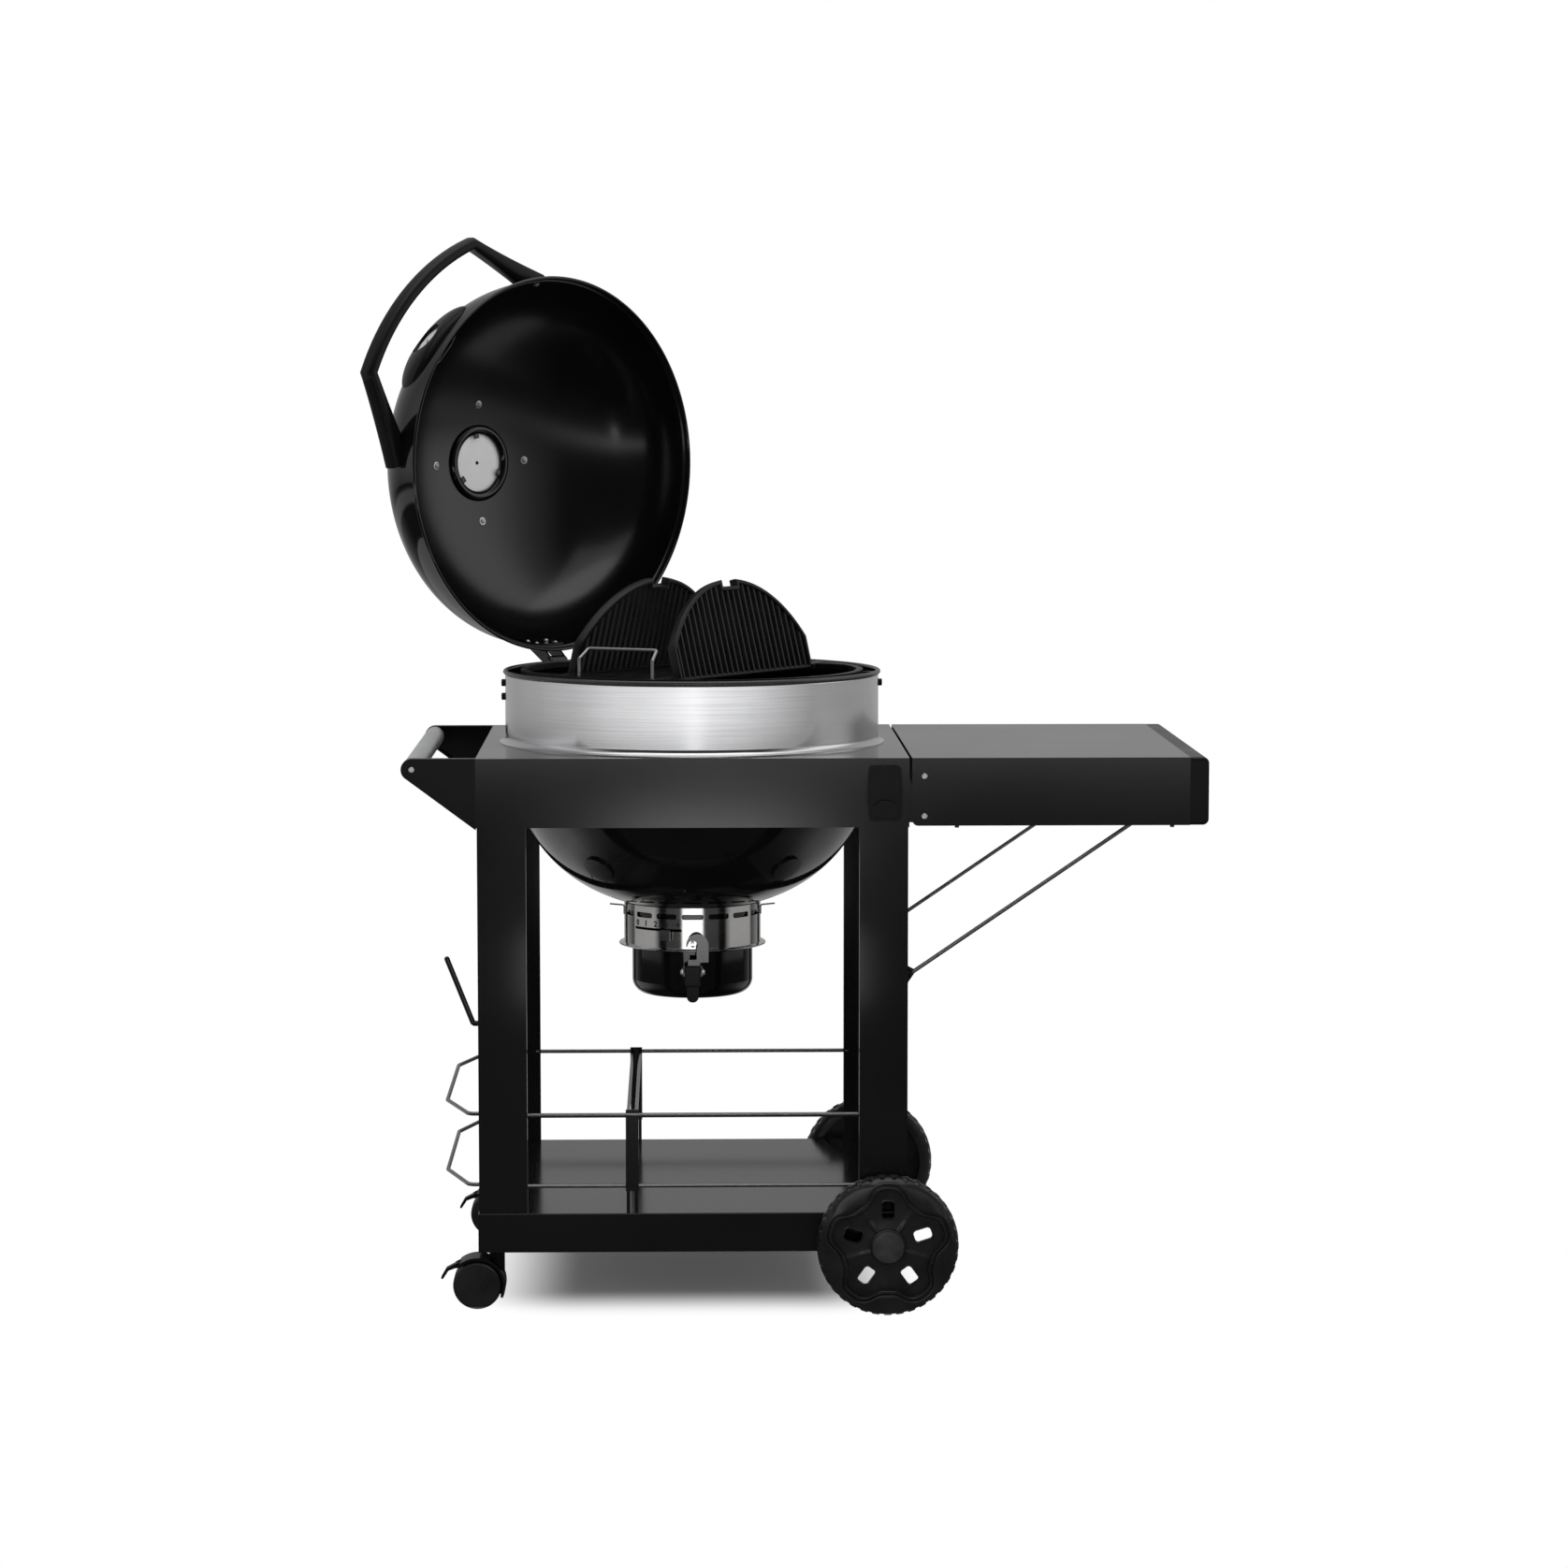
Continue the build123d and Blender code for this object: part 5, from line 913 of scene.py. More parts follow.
@dataclass
class Lid:
    """The domed lid, built closed over the kettle and then swung up to its open stop.

    Heights are above the joint of the bowl's rim, and distances from the kettle's axis.
    """

    radius: float = 288 * MM
    wall: float = 2 * MM
    dome: float = 170 * MM
    fullness: float = 2.25
    join_up: float = 16 * MM
    seat_up: float = 4 * MM
    skirt_out: float = 291.6 * MM
    skirt_in: float = 289.6 * MM
    bead: float = 2.3 * MM
    vent: float = 46.5 * MM
    tab_at: float = FRONT + 36
    bolt_at: float = FRONT + 42
    bolt_out: float = 79 * MM
    handle_out: float = 80 * MM
    handle_up: float = 48 * MM
    handle_half: float = 23.0
    handle_foot: float = 45.0
    handle_thick: float = 18 * MM
    handle_tall: float = 28 * MM
    handle_flare: float = 22 * MM
    handle_swell: float = 0.12  # share by which it grows taller at the dome
    gauge_at: float = FRONT - 3
    gauge_up: float = 62 * MM
    gauge_wide: float = 88 * MM
    gauge_tall: float = 40 * MM
    gauge_rise: float = 9.5 * MM
    gauge_sunk: float = 10.5 * MM
    dial: float = 25 * MM
    dial_sweep: float = 130.0  # ticks to each side of the top, in degrees
    dial_ticks: int = 27
    needle_turn: float = 215.0
    turns: int = 288

    def __post_init__(self) -> None:
        """Work out where the closed lid sits."""
        self.seat = KETTLE + [0, 0, RIM_TOP - RIM_ROLL]

    def open_up(
        self, form: Form, name: str, finishes: list[Finish], node: str, sharp: float
    ) -> None:
        """Make a piece that was built closed, swung up to the open stop."""
        replaces = (node,) if node else ()
        form.make(name, "lid", finishes, replaces, lid_swing(), sharp)

    def skin(self, inset: float) -> Array:
        """Profile of the dome, from its straight band up to the vent hole.

        Args:
            inset: how far inside the outer skin.

        Returns:
            Radii and heights.
        """
        curve = superellipse(self.radius - inset, self.dome - inset, self.fullness, 110)
        curve = curve[curve[:, 0] > self.vent + MM] + [0, self.join_up]
        return np.vstack([curve, [self.vent, self.height(self.vent, inset)]])

    def height(self, radius: Array, inset: float) -> Array:
        """Height of one skin of the dome at a distance from the axis: the superellipse's height."""
        share = 1 - (np.asarray(radius) / (self.radius - inset)) ** self.fullness
        return self.join_up + (self.dome - inset) * share ** (1 / self.fullness)

    def reach(self, height: Array) -> Array:
        """Radius of the dome's outer skin at a height: the superellipse's radius."""
        share = np.clip((height - self.join_up) / self.dome, 0, 1)
        return self.radius * (1 - share**self.fullness) ** (1 / self.fullness)

    def on_dome(self, azimuth: Array, height: Array, out: Array) -> Array:
        """Points a given distance off the dome's outer skin, on the closed lid.

        The outward direction comes from the slope between two heights a millimetre apart.

        Args:
            azimuth: azimuths in radians.
            height: heights in metres.
            out: distances outwards, negative inwards.

        Returns:
            The points.
        """
        slope = (self.reach(height + MM) - self.reach(height - MM)) / (2 * MM)
        size = np.hypot(1, slope)
        radius = self.reach(height) + out / size
        return polar(azimuth, radius, height - out * slope / size) + self.seat

    def shell(self) -> None:
        """Build the lid: dome, the step out over the rim, the skirt and the rolled bead."""
        inner = self.radius - self.wall
        middle = (self.skirt_in + self.bead + 0.9 * MM, -1.7 * MM)
        roll = bead(middle, self.bead, 200, 480, 26)
        outer_skin = self.skin(0.0)
        outside = np.vstack([
            roll,
            [[self.skirt_out, 2.5 * MM], [self.skirt_out - 0.8 * MM, 4.6 * MM]],
            [[self.radius, 7.5 * MM], [self.radius, 9.0 * MM], [self.radius, 14.5 * MM]],
            outer_skin,
        ])
        inside = np.vstack([
            outer_skin[-1:],
            self.skin(self.wall)[::-1],
            [[inner, 14.5 * MM], [inner, 7.0 * MM], [inner, 5.5 * MM]],
            [[self.radius - 1.2 * MM, self.seat_up], [self.skirt_in - 0.6 * MM, 2.6 * MM]],
            [[self.skirt_in, 0.5 * MM]],
            roll[:1],
        ])
        form = Form()
        for mark, profile in enumerate((outside, inside)):
            form.net(spin(profile, self.turns, self.seat), mark=mark)
        self.open_up(form, "lid_dome", [ENAMEL, LID_LINING], "lid_shell", 40)

    def handle(self) -> None:
        """Build the handle: a rounded bar round the front with two legs back to the dome.

        The bar's middle line is an arc about the kettle's axis and two straight legs with mitred
        knees. Its section is a superellipse that grows wider towards the dome. Points that would
        enter the dome slide out to its skin.
        """
        grip = np.radians(FRONT + np.linspace(-self.handle_half, self.handle_half, 45))
        grip = polar(grip, self.radius + self.handle_out, self.handle_up)
        share = np.linspace(0, 1, 15)[1:]
        legs = []
        for side, knee in ((-1, grip[0]), (1, grip[-1])):
            azimuth = math.radians(FRONT + side * self.handle_foot)
            foot = polar(azimuth, self.radius - 7 * MM, self.handle_up)
            legs.append(knee + (foot - knee) * share[:, None])
        path = np.vstack([legs[0][::-1], grip, legs[1]])
        flare = np.concatenate([share[::-1], np.zeros(len(grip)), share])
        thick = self.handle_thick + self.handle_flare * flare**1.6
        tall = self.handle_tall * (1 + self.handle_swell * flare)
        net = carry(path, thick, tall, 3.4, 32, UP)
        out = np.hypot(net[..., 0], net[..., 1])
        skin = self.reach(net[..., 2]) + 0.2 * MM
        net[..., :2] *= np.maximum(skin / np.maximum(out, 1e-6), 1)[..., None]
        form = Form()
        form.net(net + self.seat)
        self.open_up(form, "lid_grip", [MOULDED], "lid_handle", 50)

    def gauge(self) -> None:
        """Build the thermometer: a wide bezel that hugs the dome, its dial and its probe.

        The bezel's height falls off as one minus a power of the distance from its middle.
        """
        azimuth = math.radians(self.gauge_at)
        share = np.linspace(0, 1, 18)[:, None]
        turn = np.linspace(0, 2 * np.pi, 96, endpoint=False)
        hole = (1 - share) * (self.dial + 3 * MM)
        wide, tall = rounded_wave(turn, 2.6)
        across = hole * np.cos(turn) + share * self.gauge_wide * wide
        up = hole * np.sin(turn) + share * self.gauge_tall * tall
        rise = self.gauge_rise * (1 - share**2.5) ** 0.7 + 0.2 * MM
        place = (azimuth + across / self.radius, self.gauge_up + up * 0.97)
        form = Form()
        under = self.on_dome(*place, 0.15 * MM)
        form.net(np.concatenate([self.on_dome(*place, rise), under[::-1]]), True)
        centre = self.on_dome(azimuth, self.gauge_up, 0.0)
        out = self.on_dome(azimuth, self.gauge_up, 1.0) - centre
        r, lift = self.dial, self.gauge_rise - self.gauge_sunk
        ledge = 3.4 * MM
        case = np.array([[3.2, 0], [3.2, 5], [2.4, 6.6], [1.2, 7], [0, 5.6]]) * MM
        case = np.vstack([case, [0, ledge]]) + [r, lift]
        form.net(aimed(spin(case, 96), centre, out))
        face = np.array([[r, lift + ledge], [0.0, lift + ledge]])
        form.net(aimed(spin(face, 96), centre, out), mark=2)
        ink = lift + ledge + 0.15 * MM
        strokes = []
        turns = np.linspace(-self.dial_sweep, self.dial_sweep, self.dial_ticks)
        for i, angle in enumerate(np.radians(turns)):
            start, half = (0.76, 0.55 * MM) if i % 5 == 0 else (0.84, 0.3 * MM)
            strokes.append(((r * start, half), (r * 0.93, half), math.pi / 2 - angle, ink))
        needle = ((-4 * MM, 1.2 * MM), (r * 0.8, 0.35 * MM))
        strokes.append((*needle, math.radians(self.needle_turn), ink + 0.4 * MM))
        for line in strokes:
            form.add(aimed(stroke(*line), centre, out), np.array([[0, 1, 2, 3]]), 3)
        button(form, centre + out / np.linalg.norm(out) * ink, out, 2.4 * MM, 1)
        probe = [[0.0, -21.0], [1.5, -21.0], [2.6, -19.5], [2.6, -8.0], [6.0, -7.6]]
        probe = np.array([*probe, [6.0, -2.4], [0.0, -2.4]]) * MM
        form.net(aimed(spin(probe, 32), centre, out), mark=1)
        finishes = [MOULDED, ZINC, DIAL_FACE, INK]
        self.open_up(form, "lid_thermometer", finishes, "thermometer", 45)

    def guard(self) -> None:
        """Build the guard round the probe: a bowed strip inside the dome, edged by two wires."""
        azimuth = math.radians(self.gauge_at)
        low, high = (self.on_dome(azimuth, self.gauge_up + rise, 0.0) for rise in (0.0, 20 * MM))
        across = np.array([-46, -43, -36, -18, 18, 36, 43, 46]) * MM
        depth = np.array([2.4, 10.0, 24.0, 28.0, 28.0, 24.0, 10.0, 2.4]) * MM
        form = Form()
        strip = (0.0, slice(None), 30 * MM, 1.6 * MM, 0.0, 0)
        wires = [(rise, slice(2, 6), 3 * MM, MM, 1.3 * MM, 1) for rise in (-9 * MM, 9 * MM)]
        for rise, part, width, thick, behind, mark in (strip, *wires):
            turn = azimuth + across[part] / self.radius
            height = np.full(len(turn), self.gauge_up + rise)
            line = self.on_dome(turn, height, -depth[part] - behind)
            form.net(carry(line, thick, width, 5, 16, high - low), mark=mark)
        self.open_up(form, "probe_guard", [MOULDED, WIRE], "", 35)

    def vent_ring(self) -> None:
        """Build the rolled ring inside the vent and its three tabs."""
        a = np.linspace(0, np.pi, 15)
        r = self.vent + 7 * MM - 8 * MM * np.cos(a)
        sheet = self.height(r, self.wall) - 0.2 * MM
        roll = np.stack([r, sheet - 6.5 * MM * np.sin(a)], -1)
        back = np.stack([r, sheet], -1)[::-1]
        form = Form()
        form.net(spin(np.vstack([roll, back[1:-1]]), 144, self.seat), True)
        under = self.height(self.vent, self.wall) - 2.2 * MM
        for i in range(3):
            inwards = self.vent - np.array([-1, 3, 7]) * MM
            line = polar(math.radians(self.tab_at + i * 120), inwards, under)
            form.net(carry(line, 10 * MM, 2 * MM, 5, 20, UP) + self.seat)
        self.open_up(form, "vent_roll", [ENAMEL], "lid_vent_ring", 35)

    def fasteners(self) -> None:
        """Set the screws inside the lid: four round the vent, two of the handle, four rivets."""
        up = float(self.height(self.bolt_out, self.wall))
        spots = [(math.radians(self.bolt_at + i * 90), up, 4.2 * MM, 0.0) for i in range(4)]
        for side in (-1, 1):
            foot = math.radians(FRONT + side * self.handle_foot)
            spots.append((foot, self.handle_up, 4.0 * MM, 0.0))
        point, _ = hinge("lid_hinge")
        away = math.atan2(point[1] - KETTLE[1], point[0] - KETTLE[0])
        for across in (-20 * MM, 20 * MM):
            for height in (24 * MM, 46 * MM):
                spots.append((away + across / self.radius, height, 3.4 * MM, 2.6 * MM))
        form = Form()
        for azimuth, height, radius, lift in spots:
            at = self.on_dome(azimuth, height, -self.wall - 0.1 * MM - lift)
            further = self.on_dome(azimuth, height, -self.wall - 10 * MM)
            button(form, at, further - at, radius)
        self.open_up(form, "lid_buttons", [ZINC], "lid_fasteners", 30)

    def build(self) -> None:
        """Build the lid's pieces."""
        self.shell()
        self.handle()
        self.gauge()
        self.guard()
        self.vent_ring()
        self.fasteners()


# ------------------------------------------------------------------ grates


@dataclass
class Grates:
    """The two cast flaps of the cooking grate, standing open on their hinges."""

    long: float = 367 * MM
    side: float = 45 * MM
    height: float = 146 * MM
    notch: float = 38 * MM
    notch_deep: float = 11 * MM
    ribs: int = 24
    rib_wide: float = 7.6 * MM
    rib_deep: float = 9 * MM
    rib_taper: float = 0.62  # width low on a rib as a share of its full width
    rim_wide: float = 7 * MM
    rim_deep: float = 14 * MM
    rod_out: float = 4.2 * MM
    pin_out: float = 2.9 * MM
    pin_past: float = 18 * MM
    lean: float = 104.0

    def top(self, y: Array) -> Array:
        """How far the flap reaches from its hinge: an arc through its two corners and its crown.

        Args:
            y: distance along the hinge from the middle.

        Returns:
            The reach at each distance.
        """
        half, rise = self.long / 2, self.height - self.side
        radius = (half**2 + rise**2) / (2 * rise)
        return self.height - radius + np.sqrt(radius**2 - y**2)

    def rim(self) -> Array:
        """The line of one flap's rim: up one side, over the crown, through the notch and down.

        Returns:
            Its points: up the flap, along the hinge, and nothing through.
        """
        inset = self.rim_wide / 2
        y = np.linspace(-self.long / 2 + inset, -self.notch / 2 - inset, 26)
        climb = np.stack([self.top(y) - inset, y], -1)
        notch = [self.height - self.notch_deep - inset, -self.notch / 2 - inset]
        left = np.vstack([[inset, -self.long / 2 + inset], climb, notch])
        line = np.vstack([left, left[::-1] * [1, -1]])
        return np.column_stack([line, np.zeros(len(line))])

    def section(self) -> Array:
        """Across and through a rib: flat on top with chamfers, and tapered below.

        Returns:
            Its corners, one pair per row.
        """
        wide, deep, low = self.rib_wide / 2, self.rib_deep / 2, self.rib_wide / 2 * self.rib_taper
        top = [[wide - 1.4 * MM, deep], [wide, deep - 1.2 * MM]]
        half = np.array([*top, [low, MM - deep], [wide * 0.45, -deep]])
        return np.vstack([half, half[::-1] * [-1, 1]])

    def flap(self, end: str) -> None:
        """Build one flap: its mitred rim with the notch, its tapered ribs and its hinge rod.

        Args:
            end: left or right.
        """
        point, axis = hinge(f"flap_{end}_hinge")
        pivot, along = np.array(point), np.array(axis)
        outward = (pivot - KETTLE) * [1, 1, 0]
        outward /= np.linalg.norm(outward)
        lean = math.radians(self.lean)
        up = outward * math.cos(lean) + UP * math.sin(lean)
        through = np.cross(up, along)
        axes = np.stack([up, along, through])
        form = Form()
        rim = self.rim() @ axes
        form.net(carry(rim, self.rim_wide, self.rim_deep, 4.5, 20, through) + pivot)
        pitch, inset, section = self.long / (self.ribs + 1), self.rim_wide / 2, self.section()
        for i in range(1, self.ribs + 1):
            at = -self.long / 2 + i * pitch
            in_notch = abs(at) < self.notch / 2 + inset
            stop = self.height - self.notch_deep if in_notch else float(self.top(at))
            x = np.linspace(2 * MM, stop - inset, 8)
            line = np.column_stack([x, np.full(8, at), np.zeros(8)]) @ axes
            net = line[:, None] + section[None, :, :1] * along + section[None, :, 1:] * through
            form.net(closed_ends(net) + pivot)
        for out, length in ((self.rod_out, self.long), (self.pin_out, self.long + self.pin_past)):
            rod = np.array([[0.0, -0.5], [out, -0.5], [out, 0.5], [0.0, 0.5]]) * [1, length]
            form.net(aimed(spin(rod, 24), pivot, along))
        replaces = (f"grate_flap_{end}",)
        form.make(f"flap_ribs_{end}", f"flap_{end}", [CAST_IRON], replaces, sharp=40)

    def build(self) -> None:
        """Build both flaps."""
        self.flap("left")
        self.flap("right")


# ------------------------------------------------------------------ running gear


@dataclass
class RoadWheels:
    """The two plastic wheels: lugged tread, five-lobed recess with windows, and a bare hub cap.

    A wheel is built about Z, its inner face at zero and its outer face at its width.
    """

    radius: float = 104.5 * MM
    width: float = 40 * MM
    lug: float = 2.2 * MM
    lugs: int = 36
    lobes: int = 5
    tip: float = 84 * MM
    valley: float = 64 * MM
    recess: float = 9 * MM
    shoulder: float = 97.5 * MM
    shoulder_drop: float = 4.4 * MM
    axle: float = 6.2 * MM
    hub: float = 26.5 * MM
    cap: float = 23.5 * MM
    cap_rise: float = 6.6 * MM
    cap_rings: int = 14
    window_at: float = 54 * MM
    window_long: float = 26 * MM
    window_wide: float = 18 * MM
    window_corner: float = 5 * MM
    web: float = 10 * MM
    columns: int = 540

    def star(self, angle: Array) -> Array:
        """Radius of the five-lobed outline: a middle radius plus a flattened five-fold wave.

        Args:
            angle: azimuths in radians, from the wheel's forward direction.

        Returns:
            The radius at each azimuth.
        """
        wave = np.cos(self.lobes * (angle - np.pi / 2))
        middle, swing = (self.tip + self.valley) / 2, (self.tip - self.valley) / 2
        return middle + swing * (1.5 * wave - 0.5 * wave**3)

    def blocks(self, angle: Array, shift: float) -> Array:
        """1 in the gaps of a row of tread blocks, 0 on them; shift is a share of their pitch."""
        phase = (angle * self.lugs / (2 * np.pi) + shift) % 1
        return 1 - np.clip((np.abs(phase - 0.5) - 0.14) * 12, 0, 1)

    def rim(self, angle: Array) -> Array:
        """The rim and tyre as one closed net: each row keeps its place between star and tread.

        Args:
            angle: azimuth of each column.

        Returns:
            Its points.
        """
        star = self.star(angle)
        floor = self.recess / MM
        lip = np.array([  # outwards from the star, and back from the outer face
            [0.0, floor + self.web / MM], [0.0, floor + 1], [0.6, 3.2], [1.3, 1.0], [2.2, 0.2],
            [3.4, 0.0], [4.6, 0.2], [5.4, 1.0], [5.9, 2.6], [6.8, 2.9], [7.6, 2.2], [8.6, 1.0],
            [9.8, 0.5],
        ]) * MM
        rows = [(star + out, back) for out, back in lip]
        start, start_drop = lip[-1]
        for share in np.linspace(0.12, 1, 8):
            radius = star + start + (self.shoulder - star - start) * share
            rows.append((radius, start_drop + (self.shoulder_drop - start_drop) * share**2.4))
        tread = [  # radius, back from the outer face and depth of the gaps, for each row of blocks
            [
                [100.3, 6.4, 0.0], [102.5, 9.2, 0.6], [104.0, 12.6, 1.0], [104.5, 15.0, 1.0],
                [104.5, 17.6, 1.0], [104.2, 18.6, 0.8], [102.6, 19.5, 0.0],
            ],
            [
                [102.6, 20.5, 0.0], [104.2, 21.4, 0.8], [104.5, 22.4, 1.0], [104.5, 25.0, 1.0],
                [104.0, 28.4, 1.0], [102.5, 32.8, 0.6], [100.3, 35.8, 0.0], [97.0, 38.0, 0.0],
            ],
        ]
        for shift, side in zip((0.0, 0.5), tread):
            gaps = self.blocks(angle, shift) * self.lug
            rows += [(radius * MM - gaps * depth, back * MM) for radius, back, depth in side]
        inside = [[92.0, 39.4], [88.0, 40.0], [84.0, 40.0], [84.0, 20.0], [83.0, 19.0]]
        rows += [(radius, back) for radius, back in np.array(inside) * MM]
        return np.stack([polar(angle, radius, self.width - back) for radius, back in rows])

    def window(self, x: Array, y: Array) -> Array:
        """Distance to the nearest of the five windows.

        Args:
            x: first coordinate.
            y: second coordinate.

        Returns:
            The signed distance, negative inside a window.
        """
        fifth = 2 * np.pi / self.lobes
        turn = (np.arctan2(y, x) - np.pi / 2 + fifth / 2) % fifth - fifth / 2
        reach = np.hypot(x, y)
        along, across = reach * np.cos(turn) - self.window_at, reach * np.sin(turn)
        size = (self.window_long / 2, self.window_wide / 2, self.window_corner)
        return rounded_box(along, across, *size)

    def web_net(self, angle: Array, form: Form) -> None:
        """Add the recessed web with its five rounded windows, and a ridge between each two.

        Args:
            angle: azimuth of each column.
            form: the form that takes it.
        """
        share = np.linspace(0, 1, 46)[:, None]
        inner = self.hub - MM
        r = inner + share * (self.star(angle) + 0.4 * MM - inner)
        x, y, holes = snapped(r * np.cos(angle), r * np.sin(angle), self.window, 0.9 * MM)
        away = np.clip(self.window(x, y) / (1.6 * MM), 0, 1)
        ridge = np.clip(np.cos(self.lobes * (np.arctan2(y, x) + np.pi / 2)), 0, 1) ** 9
        near = np.clip((np.hypot(x, y) - self.hub) / (20 * MM), 0, 1)
        lip = 0.9 * MM * (1 - away) ** 2
        lip += 2.6 * MM * ridge * np.clip(1.3 - near, 0, 1) + 1.6 * MM * (1 - near) ** 2
        floor = self.width - self.recess
        heights = (floor + lip, floor - self.web)
        skins = (np.stack([x, y, np.broadcast_to(z, x.shape)], -1) for z in heights)
        pierced(*skins, holes, form)

    def hub_cap(self) -> Array:
        """Profile of the hub cap: a shallow dome with fine rings and a rounded edge.

        The dome falls by a power of the radius, and a sine of the radius makes the rings.

        Returns:
            Radii and heights.
        """
        a = np.linspace(0, 1, 90)
        ripple = 0.10 * MM * np.sin(2 * np.pi * a * self.cap_rings) * (a < 0.9)
        dome = np.stack([self.cap * 0.93 * a, self.cap_rise - 2.4 * MM * a**2.2 + ripple], -1)
        edge = bead((self.cap - 1.6 * MM, 2.6 * MM), 1.6 * MM, 60, 0, 6)
        return np.vstack([dome, edge, [[self.cap, 0.0], [0.0, 0.0]]])

    def wheel(self, end: str, side: int) -> None:
        """Build one wheel and its hub cap.

        Args:
            end: name of the wheel's end of the axle.
            side: -1 towards the cook, 1 away.
        """
        low, high = corners(f"wheel_{end}")
        middle = ((low[0] + high[0]) / 2, low[1] if side > 0 else high[1], self.radius)
        turn = Matrix(((1, 0, 0, 0), (0, 0, side, 0), (0, 1, 0, 0), (0, 0, 0, 1)))
        place = Matrix.Translation(middle) @ turn
        angle = np.linspace(0, 2 * np.pi, self.columns, endpoint=False)
        form = Form()
        form.net(self.rim(angle), True)
        self.web_net(angle, form)
        face = self.width
        seat = face - 3 * MM
        boss = np.array([
            [self.axle, seat], [24 * MM, seat], [25.6 * MM, face - 3.6 * MM],
            [self.hub, face - 5 * MM], [self.hub + 0.8 * MM, face - 8.6 * MM],
            [self.hub + 2.4 * MM, face - 9.4 * MM], [self.hub + 3 * MM, 14 * MM],
            [self.hub + 3 * MM, 0.0], [self.axle, 0.0],
        ])
        form.net(spin(boss, 96), True)
        cap = Form()
        cap.net(spin(self.hub_cap() + [0, seat], 96))
        body, slot = f"wheel_{end}", "wheel_plastic"
        form.make(f"road_wheel_{end}", body, [WHEEL_PLASTIC], (f"wheel_{end}",), place, 32)
        cap.make(f"bare_hub_cap_{end}", body, [HUB_CAP], (f"hub_cap_{end}",), place, 32)

    def build(self) -> None:
        """Build both wheels."""
        self.wheel("front", -1)
        self.wheel("back", 1)


# ------------------------------------------------------------------ studio


def bump(x: Array, middle: float, width: float) -> Array:
    """A smooth bump: e to the power of minus the fourth power of the distance over the width."""
    return np.exp(-(((x - middle) / width) ** 4))


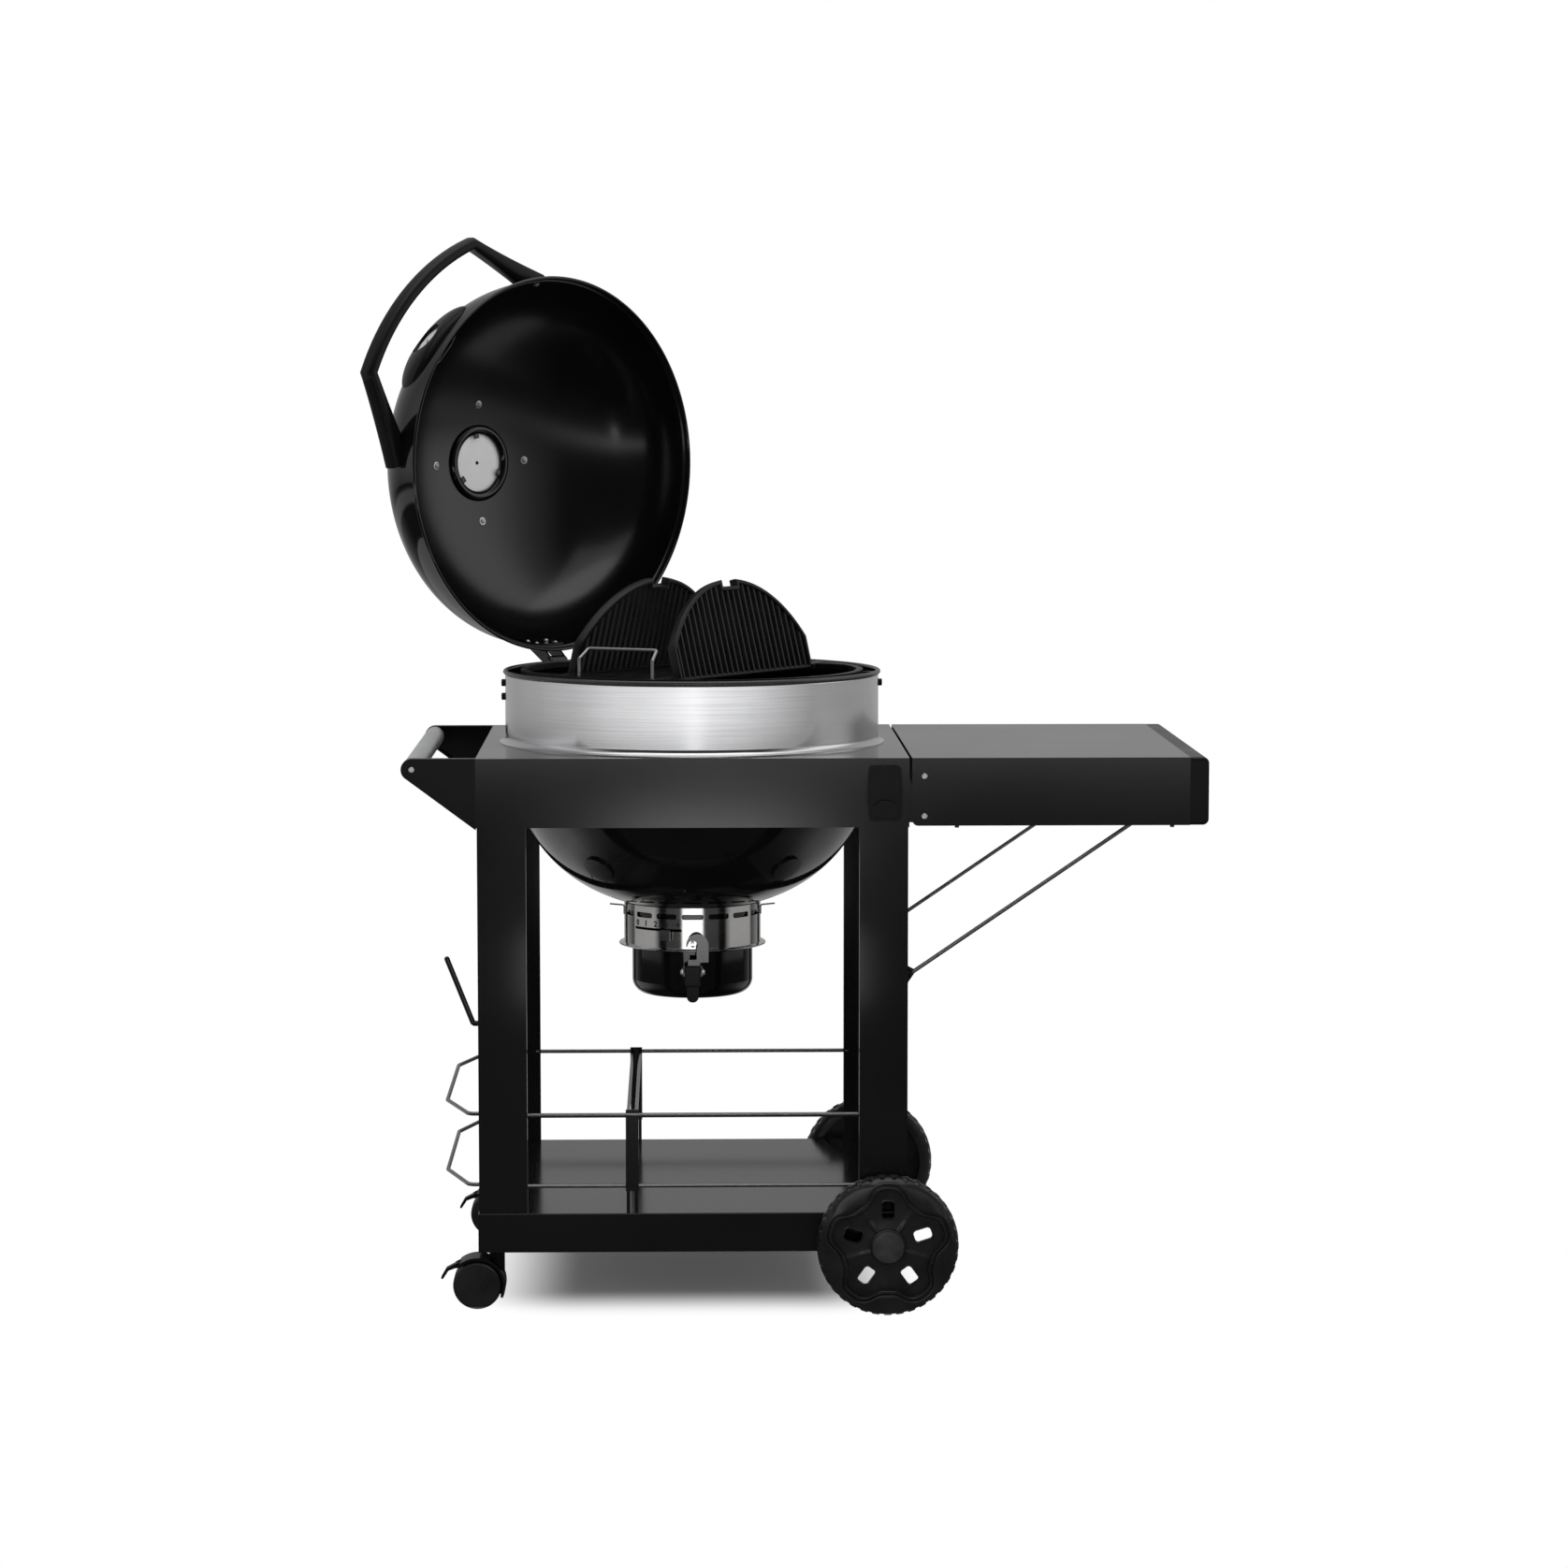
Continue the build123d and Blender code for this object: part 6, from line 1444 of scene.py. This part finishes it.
@dataclass
class Studio:
    """Pale floor, white surroundings, dark flags that shape the gloss, lamps and the camera.

    Turns are degrees from the front, to the right when positive; each list of turns has its
    brightness, or glow, in the list below it.
    """

    floor_reach: float = 30.0
    inside: float = 0.15
    fade_to: float = 0.20
    shadow_floor: float = 0.05
    floor_grey: float = 0.90
    sweep: float = 0.035
    wall_radius: float = 9.0
    wall_height: float = 14.0
    wall_fade: float = 1.1
    wall_foot: float = 0.6  # share of its glow that is left at its foot
    wall_turn: tuple[float, ...] = (-180, -110, -92, -75, -50, 0, 50, 72, 86, 104, 120, 180)
    wall_glow: tuple[float, ...] = (
        0.43, 0.4, 0.7, 0.45, 0.06, 0.04, 0.06, 0.5, 1.2, 1.1, 0.45, 0.43
    )
    card_radius: float = 2.4
    card_edges: tuple[float, float] = (0.04, 0.96)
    strip_edges: tuple[float, float] = (0.61, 0.90)
    strip_fade: float = 0.07
    strip_turn: tuple[float, ...] = (
        -180, -130, -102, -74, -45, -20, 0, 20, 45, 74, 102, 130, 180
    )
    strip_glow: tuple[float, ...] = (
        0.38, 0.42, 0.56, 0.82, 1.3, 1.6, 1.9, 1.6, 1.05, 0.5, 0.42, 0.4, 0.38
    )
    back_turn: tuple[float, ...] = (0, 110, 145, 180)
    back_glow: tuple[float, ...] = (0.0, 0.0, 0.36, 0.38)
    patch_across: tuple[float, float] = (1.0, 5.0)  # middle and half width, in degrees
    patch_up: tuple[float, float] = (0.47, 0.06)  # middle and half height
    patch_glow: float = 5.5
    ring_radius: float = 0.95
    ring_half: float = 110.0
    ring_edges: tuple[float, float] = (0.37, 0.485)
    ring_turn: tuple[float, ...] = (0, 15.5, 17, 54, 64, 110)
    ring_glow: tuple[float, ...] = (2.2, 2.2, 0.05, 0.05, 0.45, 0.4)
    stage_reach: tuple[float, float] = (0.05, 9.0)
    stage_height: float = 4 * MM
    stage_turn: tuple[float, ...] = (-180, -100, -80, -55, 0, 60, 85, 105, 180)
    stage_glow: tuple[float, ...] = (0.5, 0.75, 0.35, 0.04, 0.035, 0.04, 0.2, 0.45, 0.5)
    stage_dark: float = 0.45
    stage_fade: float = 0.5
    overhead_at: tuple[float, float, float] = (0.0, -0.4, 3.6)
    overhead_size: float = 3.2
    overhead_power: float = 25.0
    ambient: float = 0.6
    lens: float = 96.19
    eye: tuple[float, float, float] = (-0.01703, -6.41398, 1.37034)
    dip: float = 5.479
    swing: float = -1.414

    def world(self) -> None:
        """White to the camera, gloss and glass, and a softer white on the object."""
        world = bpy.data.worlds.new("studio_white")
        bpy.context.scene.world = world
        graph = Graph(world)
        rays = graph.add("LightPath", {}).outputs
        plain = graph.math("MAXIMUM", rays["Is Camera Ray"], rays["Is Glossy Ray"])
        plain = graph.math("MAXIMUM", plain, rays["Is Transmission Ray"])
        level = graph.add("MapRange", {"Value": plain, "To Min": self.ambient, "To Max": 1.0})
        white = {"Color": (1, 1, 1, 1), "Strength": level.outputs["Result"]}
        light = graph.add("Background", white)
        graph.add("OutputWorld", {"Surface": light.outputs["Background"]})

    def floor(self) -> None:
        """A pale floor that keeps the contact shadow, and is plain white away from the cart.

        The distance outside the cart's footprint is the length of how far a point lies beyond the
        half sizes. Every ray sees the same floor, so metal shows it too.
        """
        mesh = bpy.data.meshes.new("floor")
        r = self.floor_reach
        mesh.from_pydata([(-r, -r, 0), (r, -r, 0), (r, r, 0), (-r, r, 0)], [], [(0, 1, 2, 3)])
        floor = placed("floor", mesh)
        paint = bpy.data.materials.new("pale_floor")
        graph = Graph(paint)
        low, high = corners("bottom_shelf")
        flat = np.array([1, 1, 0])
        away = graph.add("TexCoord", {}).outputs["Object"]
        for operation, value in (
            ("SUBTRACT", ((low + high) / 2 * flat).tolist()),
            ("ABSOLUTE", None),
            ("SUBTRACT", (((high - low) / 2 - self.inside) * flat).tolist()),
            ("MAXIMUM", (0, 0, 0)),
        ):
            values = (away,) if value is None else (away, value)
            away = graph.vector(operation, *values).outputs["Vector"]
        fade = graph.add("MapRange", {
            "Value": graph.vector("LENGTH", away).outputs["Value"],
            "From Min": 0.0,
            "From Max": self.fade_to,
            "To Min": self.shadow_floor,
        }, interpolation_type="SMOOTHSTEP")
        matt = graph.add("BsdfDiffuse", {"Color": (*[self.floor_grey] * 3, 1)})
        glow = graph.add("Emission", {"Color": (1, 1, 1, 1)})
        seen = graph.add("MixShader", {
            "Fac": fade.outputs["Result"], 1: matt.outputs["BSDF"], 2: glow.outputs["Emission"]
        })
        graph.add("OutputMaterial", {"Surface": seen.outputs["Shader"]})
        mesh.materials.append(paint)

    def panel(self, name: str, net: Array, glow: Array) -> None:
        """Stand a glowing panel that only gloss sees.

        Args:
            name: the panel's name.
            net: its points, with shape (rows, columns, 3).
            glow: its brightness at each point.
        """
        mesh = bpy.data.meshes.new(name)
        faces = cells(*net.shape[:2]).reshape(-1, 4)
        mesh.from_pydata(net.reshape(-1, 3).tolist(), [], faces.tolist())
        values = mesh.attributes.new("glow", "FLOAT", "POINT")
        values.data.foreach_set("value", np.ascontiguousarray(glow.ravel(), dtype=np.float32))
        panel = placed(name, mesh)
        paint = bpy.data.materials.get("panel_glow")
        if not paint:
            paint = bpy.data.materials.new("panel_glow")
            graph = Graph(paint)
            read = graph.add("Attribute", {}, attribute_name="glow")
            light = graph.add("Emission", {"Strength": read.outputs["Fac"]})
            graph.add("OutputMaterial", {"Surface": light.outputs["Emission"]})
        mesh.materials.append(paint)
        for ray in ("camera", "diffuse", "shadow", "transmission"):
            setattr(panel, f"visible_{ray}", False)

    def arc(
        self, radius: float, half: float, edges: tuple[float, float], steps: int
    ) -> tuple[Array, Array]:
        """An upright arc round the kettle's axis, and each point's degrees from the front."""
        off, height = np.meshgrid(np.linspace(-half, half, steps), np.linspace(*edges, 49))
        return polar(np.radians(FRONT + off), radius, height) + KETTLE, off

    def panels(self) -> None:
        """Stand the far wall, the near card, the low ring card and the stage card.

        The near card has a long strip level with the collar, and a small patch for the front beam.
        The stage card lies just above the floor and is dark near the cart.
        """
        net, off = self.arc(self.wall_radius, 180.0, (0.0, self.wall_height), 145)
        wall = np.interp(off, self.wall_turn, self.wall_glow)
        rise = self.wall_foot + (1 - self.wall_foot) * smooth(net[..., 2] / self.wall_fade)
        self.panel("far_wall", net, wall * rise)
        net, off = self.arc(self.card_radius, 180.0, self.card_edges, 217)
        height = net[..., 2]
        low, high = self.strip_edges
        level = np.clip((height - low) / self.strip_fade, 0, 1)
        level = smooth(level * np.clip((high - height) / self.strip_fade, 0, 1))
        strip = np.interp(off, self.strip_turn, self.strip_glow) * level
        patch = self.patch_glow * bump(off, *self.patch_across) * bump(height, *self.patch_up)
        back = np.interp(np.abs(off), self.back_turn, self.back_glow)
        self.panel("card", net, np.maximum(self.sweep + strip, back) + patch)
        net, off = self.arc(self.ring_radius, self.ring_half, self.ring_edges, 111)
        self.panel("ring_card", net, np.interp(np.abs(off), self.ring_turn, self.ring_glow))
        around, outward = np.linspace(-180, 180, 145), np.geomspace(*self.stage_reach, 40)
        off, reach = np.meshgrid(around, outward)
        net = polar(np.radians(FRONT + off), reach, self.stage_height) + KETTLE
        away = smooth((reach - self.stage_dark) / self.stage_fade)
        side = np.interp(off, self.stage_turn, self.stage_glow)
        self.panel("stage_card", net, self.sweep + (side - self.sweep) * away)

    def overhead(self) -> None:
        """Hang one soft, square lamp over the kettle, facing its foot."""
        light = bpy.data.lights.new("overhead", "AREA")
        light.shape = "RECTANGLE"
        light.size = light.size_y = self.overhead_size
        light.energy = self.overhead_power
        lamp = placed("overhead", light)
        down = -Vector(self.overhead_at)
        aim = down.to_track_quat("-Z", "Y").to_matrix().to_4x4()
        lamp.matrix_world = Matrix.Translation(Vector(KETTLE) - down) @ aim
        lamp.visible_camera = False

    def camera(self) -> None:
        """Set the camera: level with the lid's lower edge, a little to the left of the kettle."""
        lens = bpy.data.cameras.new("view")
        lens.lens = self.lens
        lens.sensor_width = 36.0
        lens.clip_end = 100.0
        view = placed("view", lens)
        view.location = Vector(self.eye) + Vector(KETTLE)
        view.rotation_euler = (math.radians(90 - self.dip), 0.0, math.radians(self.swing))
        bpy.context.scene.camera = view

    def build(self) -> None:
        """Set up the whole studio."""
        bpy.context.scene.view_settings.view_transform = "Standard"
        self.world()
        self.floor()
        self.panels()
        self.overhead()
        self.camera()


# ------------------------------------------------------------------ the whole grill


def main() -> None:
    """Dress the model's parts, build the finely made pieces and set up the studio."""
    logging.basicConfig(level=logging.INFO, format="%(name)s: %(message)s")
    dress_model()
    for assembly in (Kettle(), AshCatcher(), Grates(), Lid(), RoadWheels()):
        assembly.build()
        LOG.info("%s built", type(assembly).__name__)
    Studio().build()


if __name__ == "__main__":
    main()
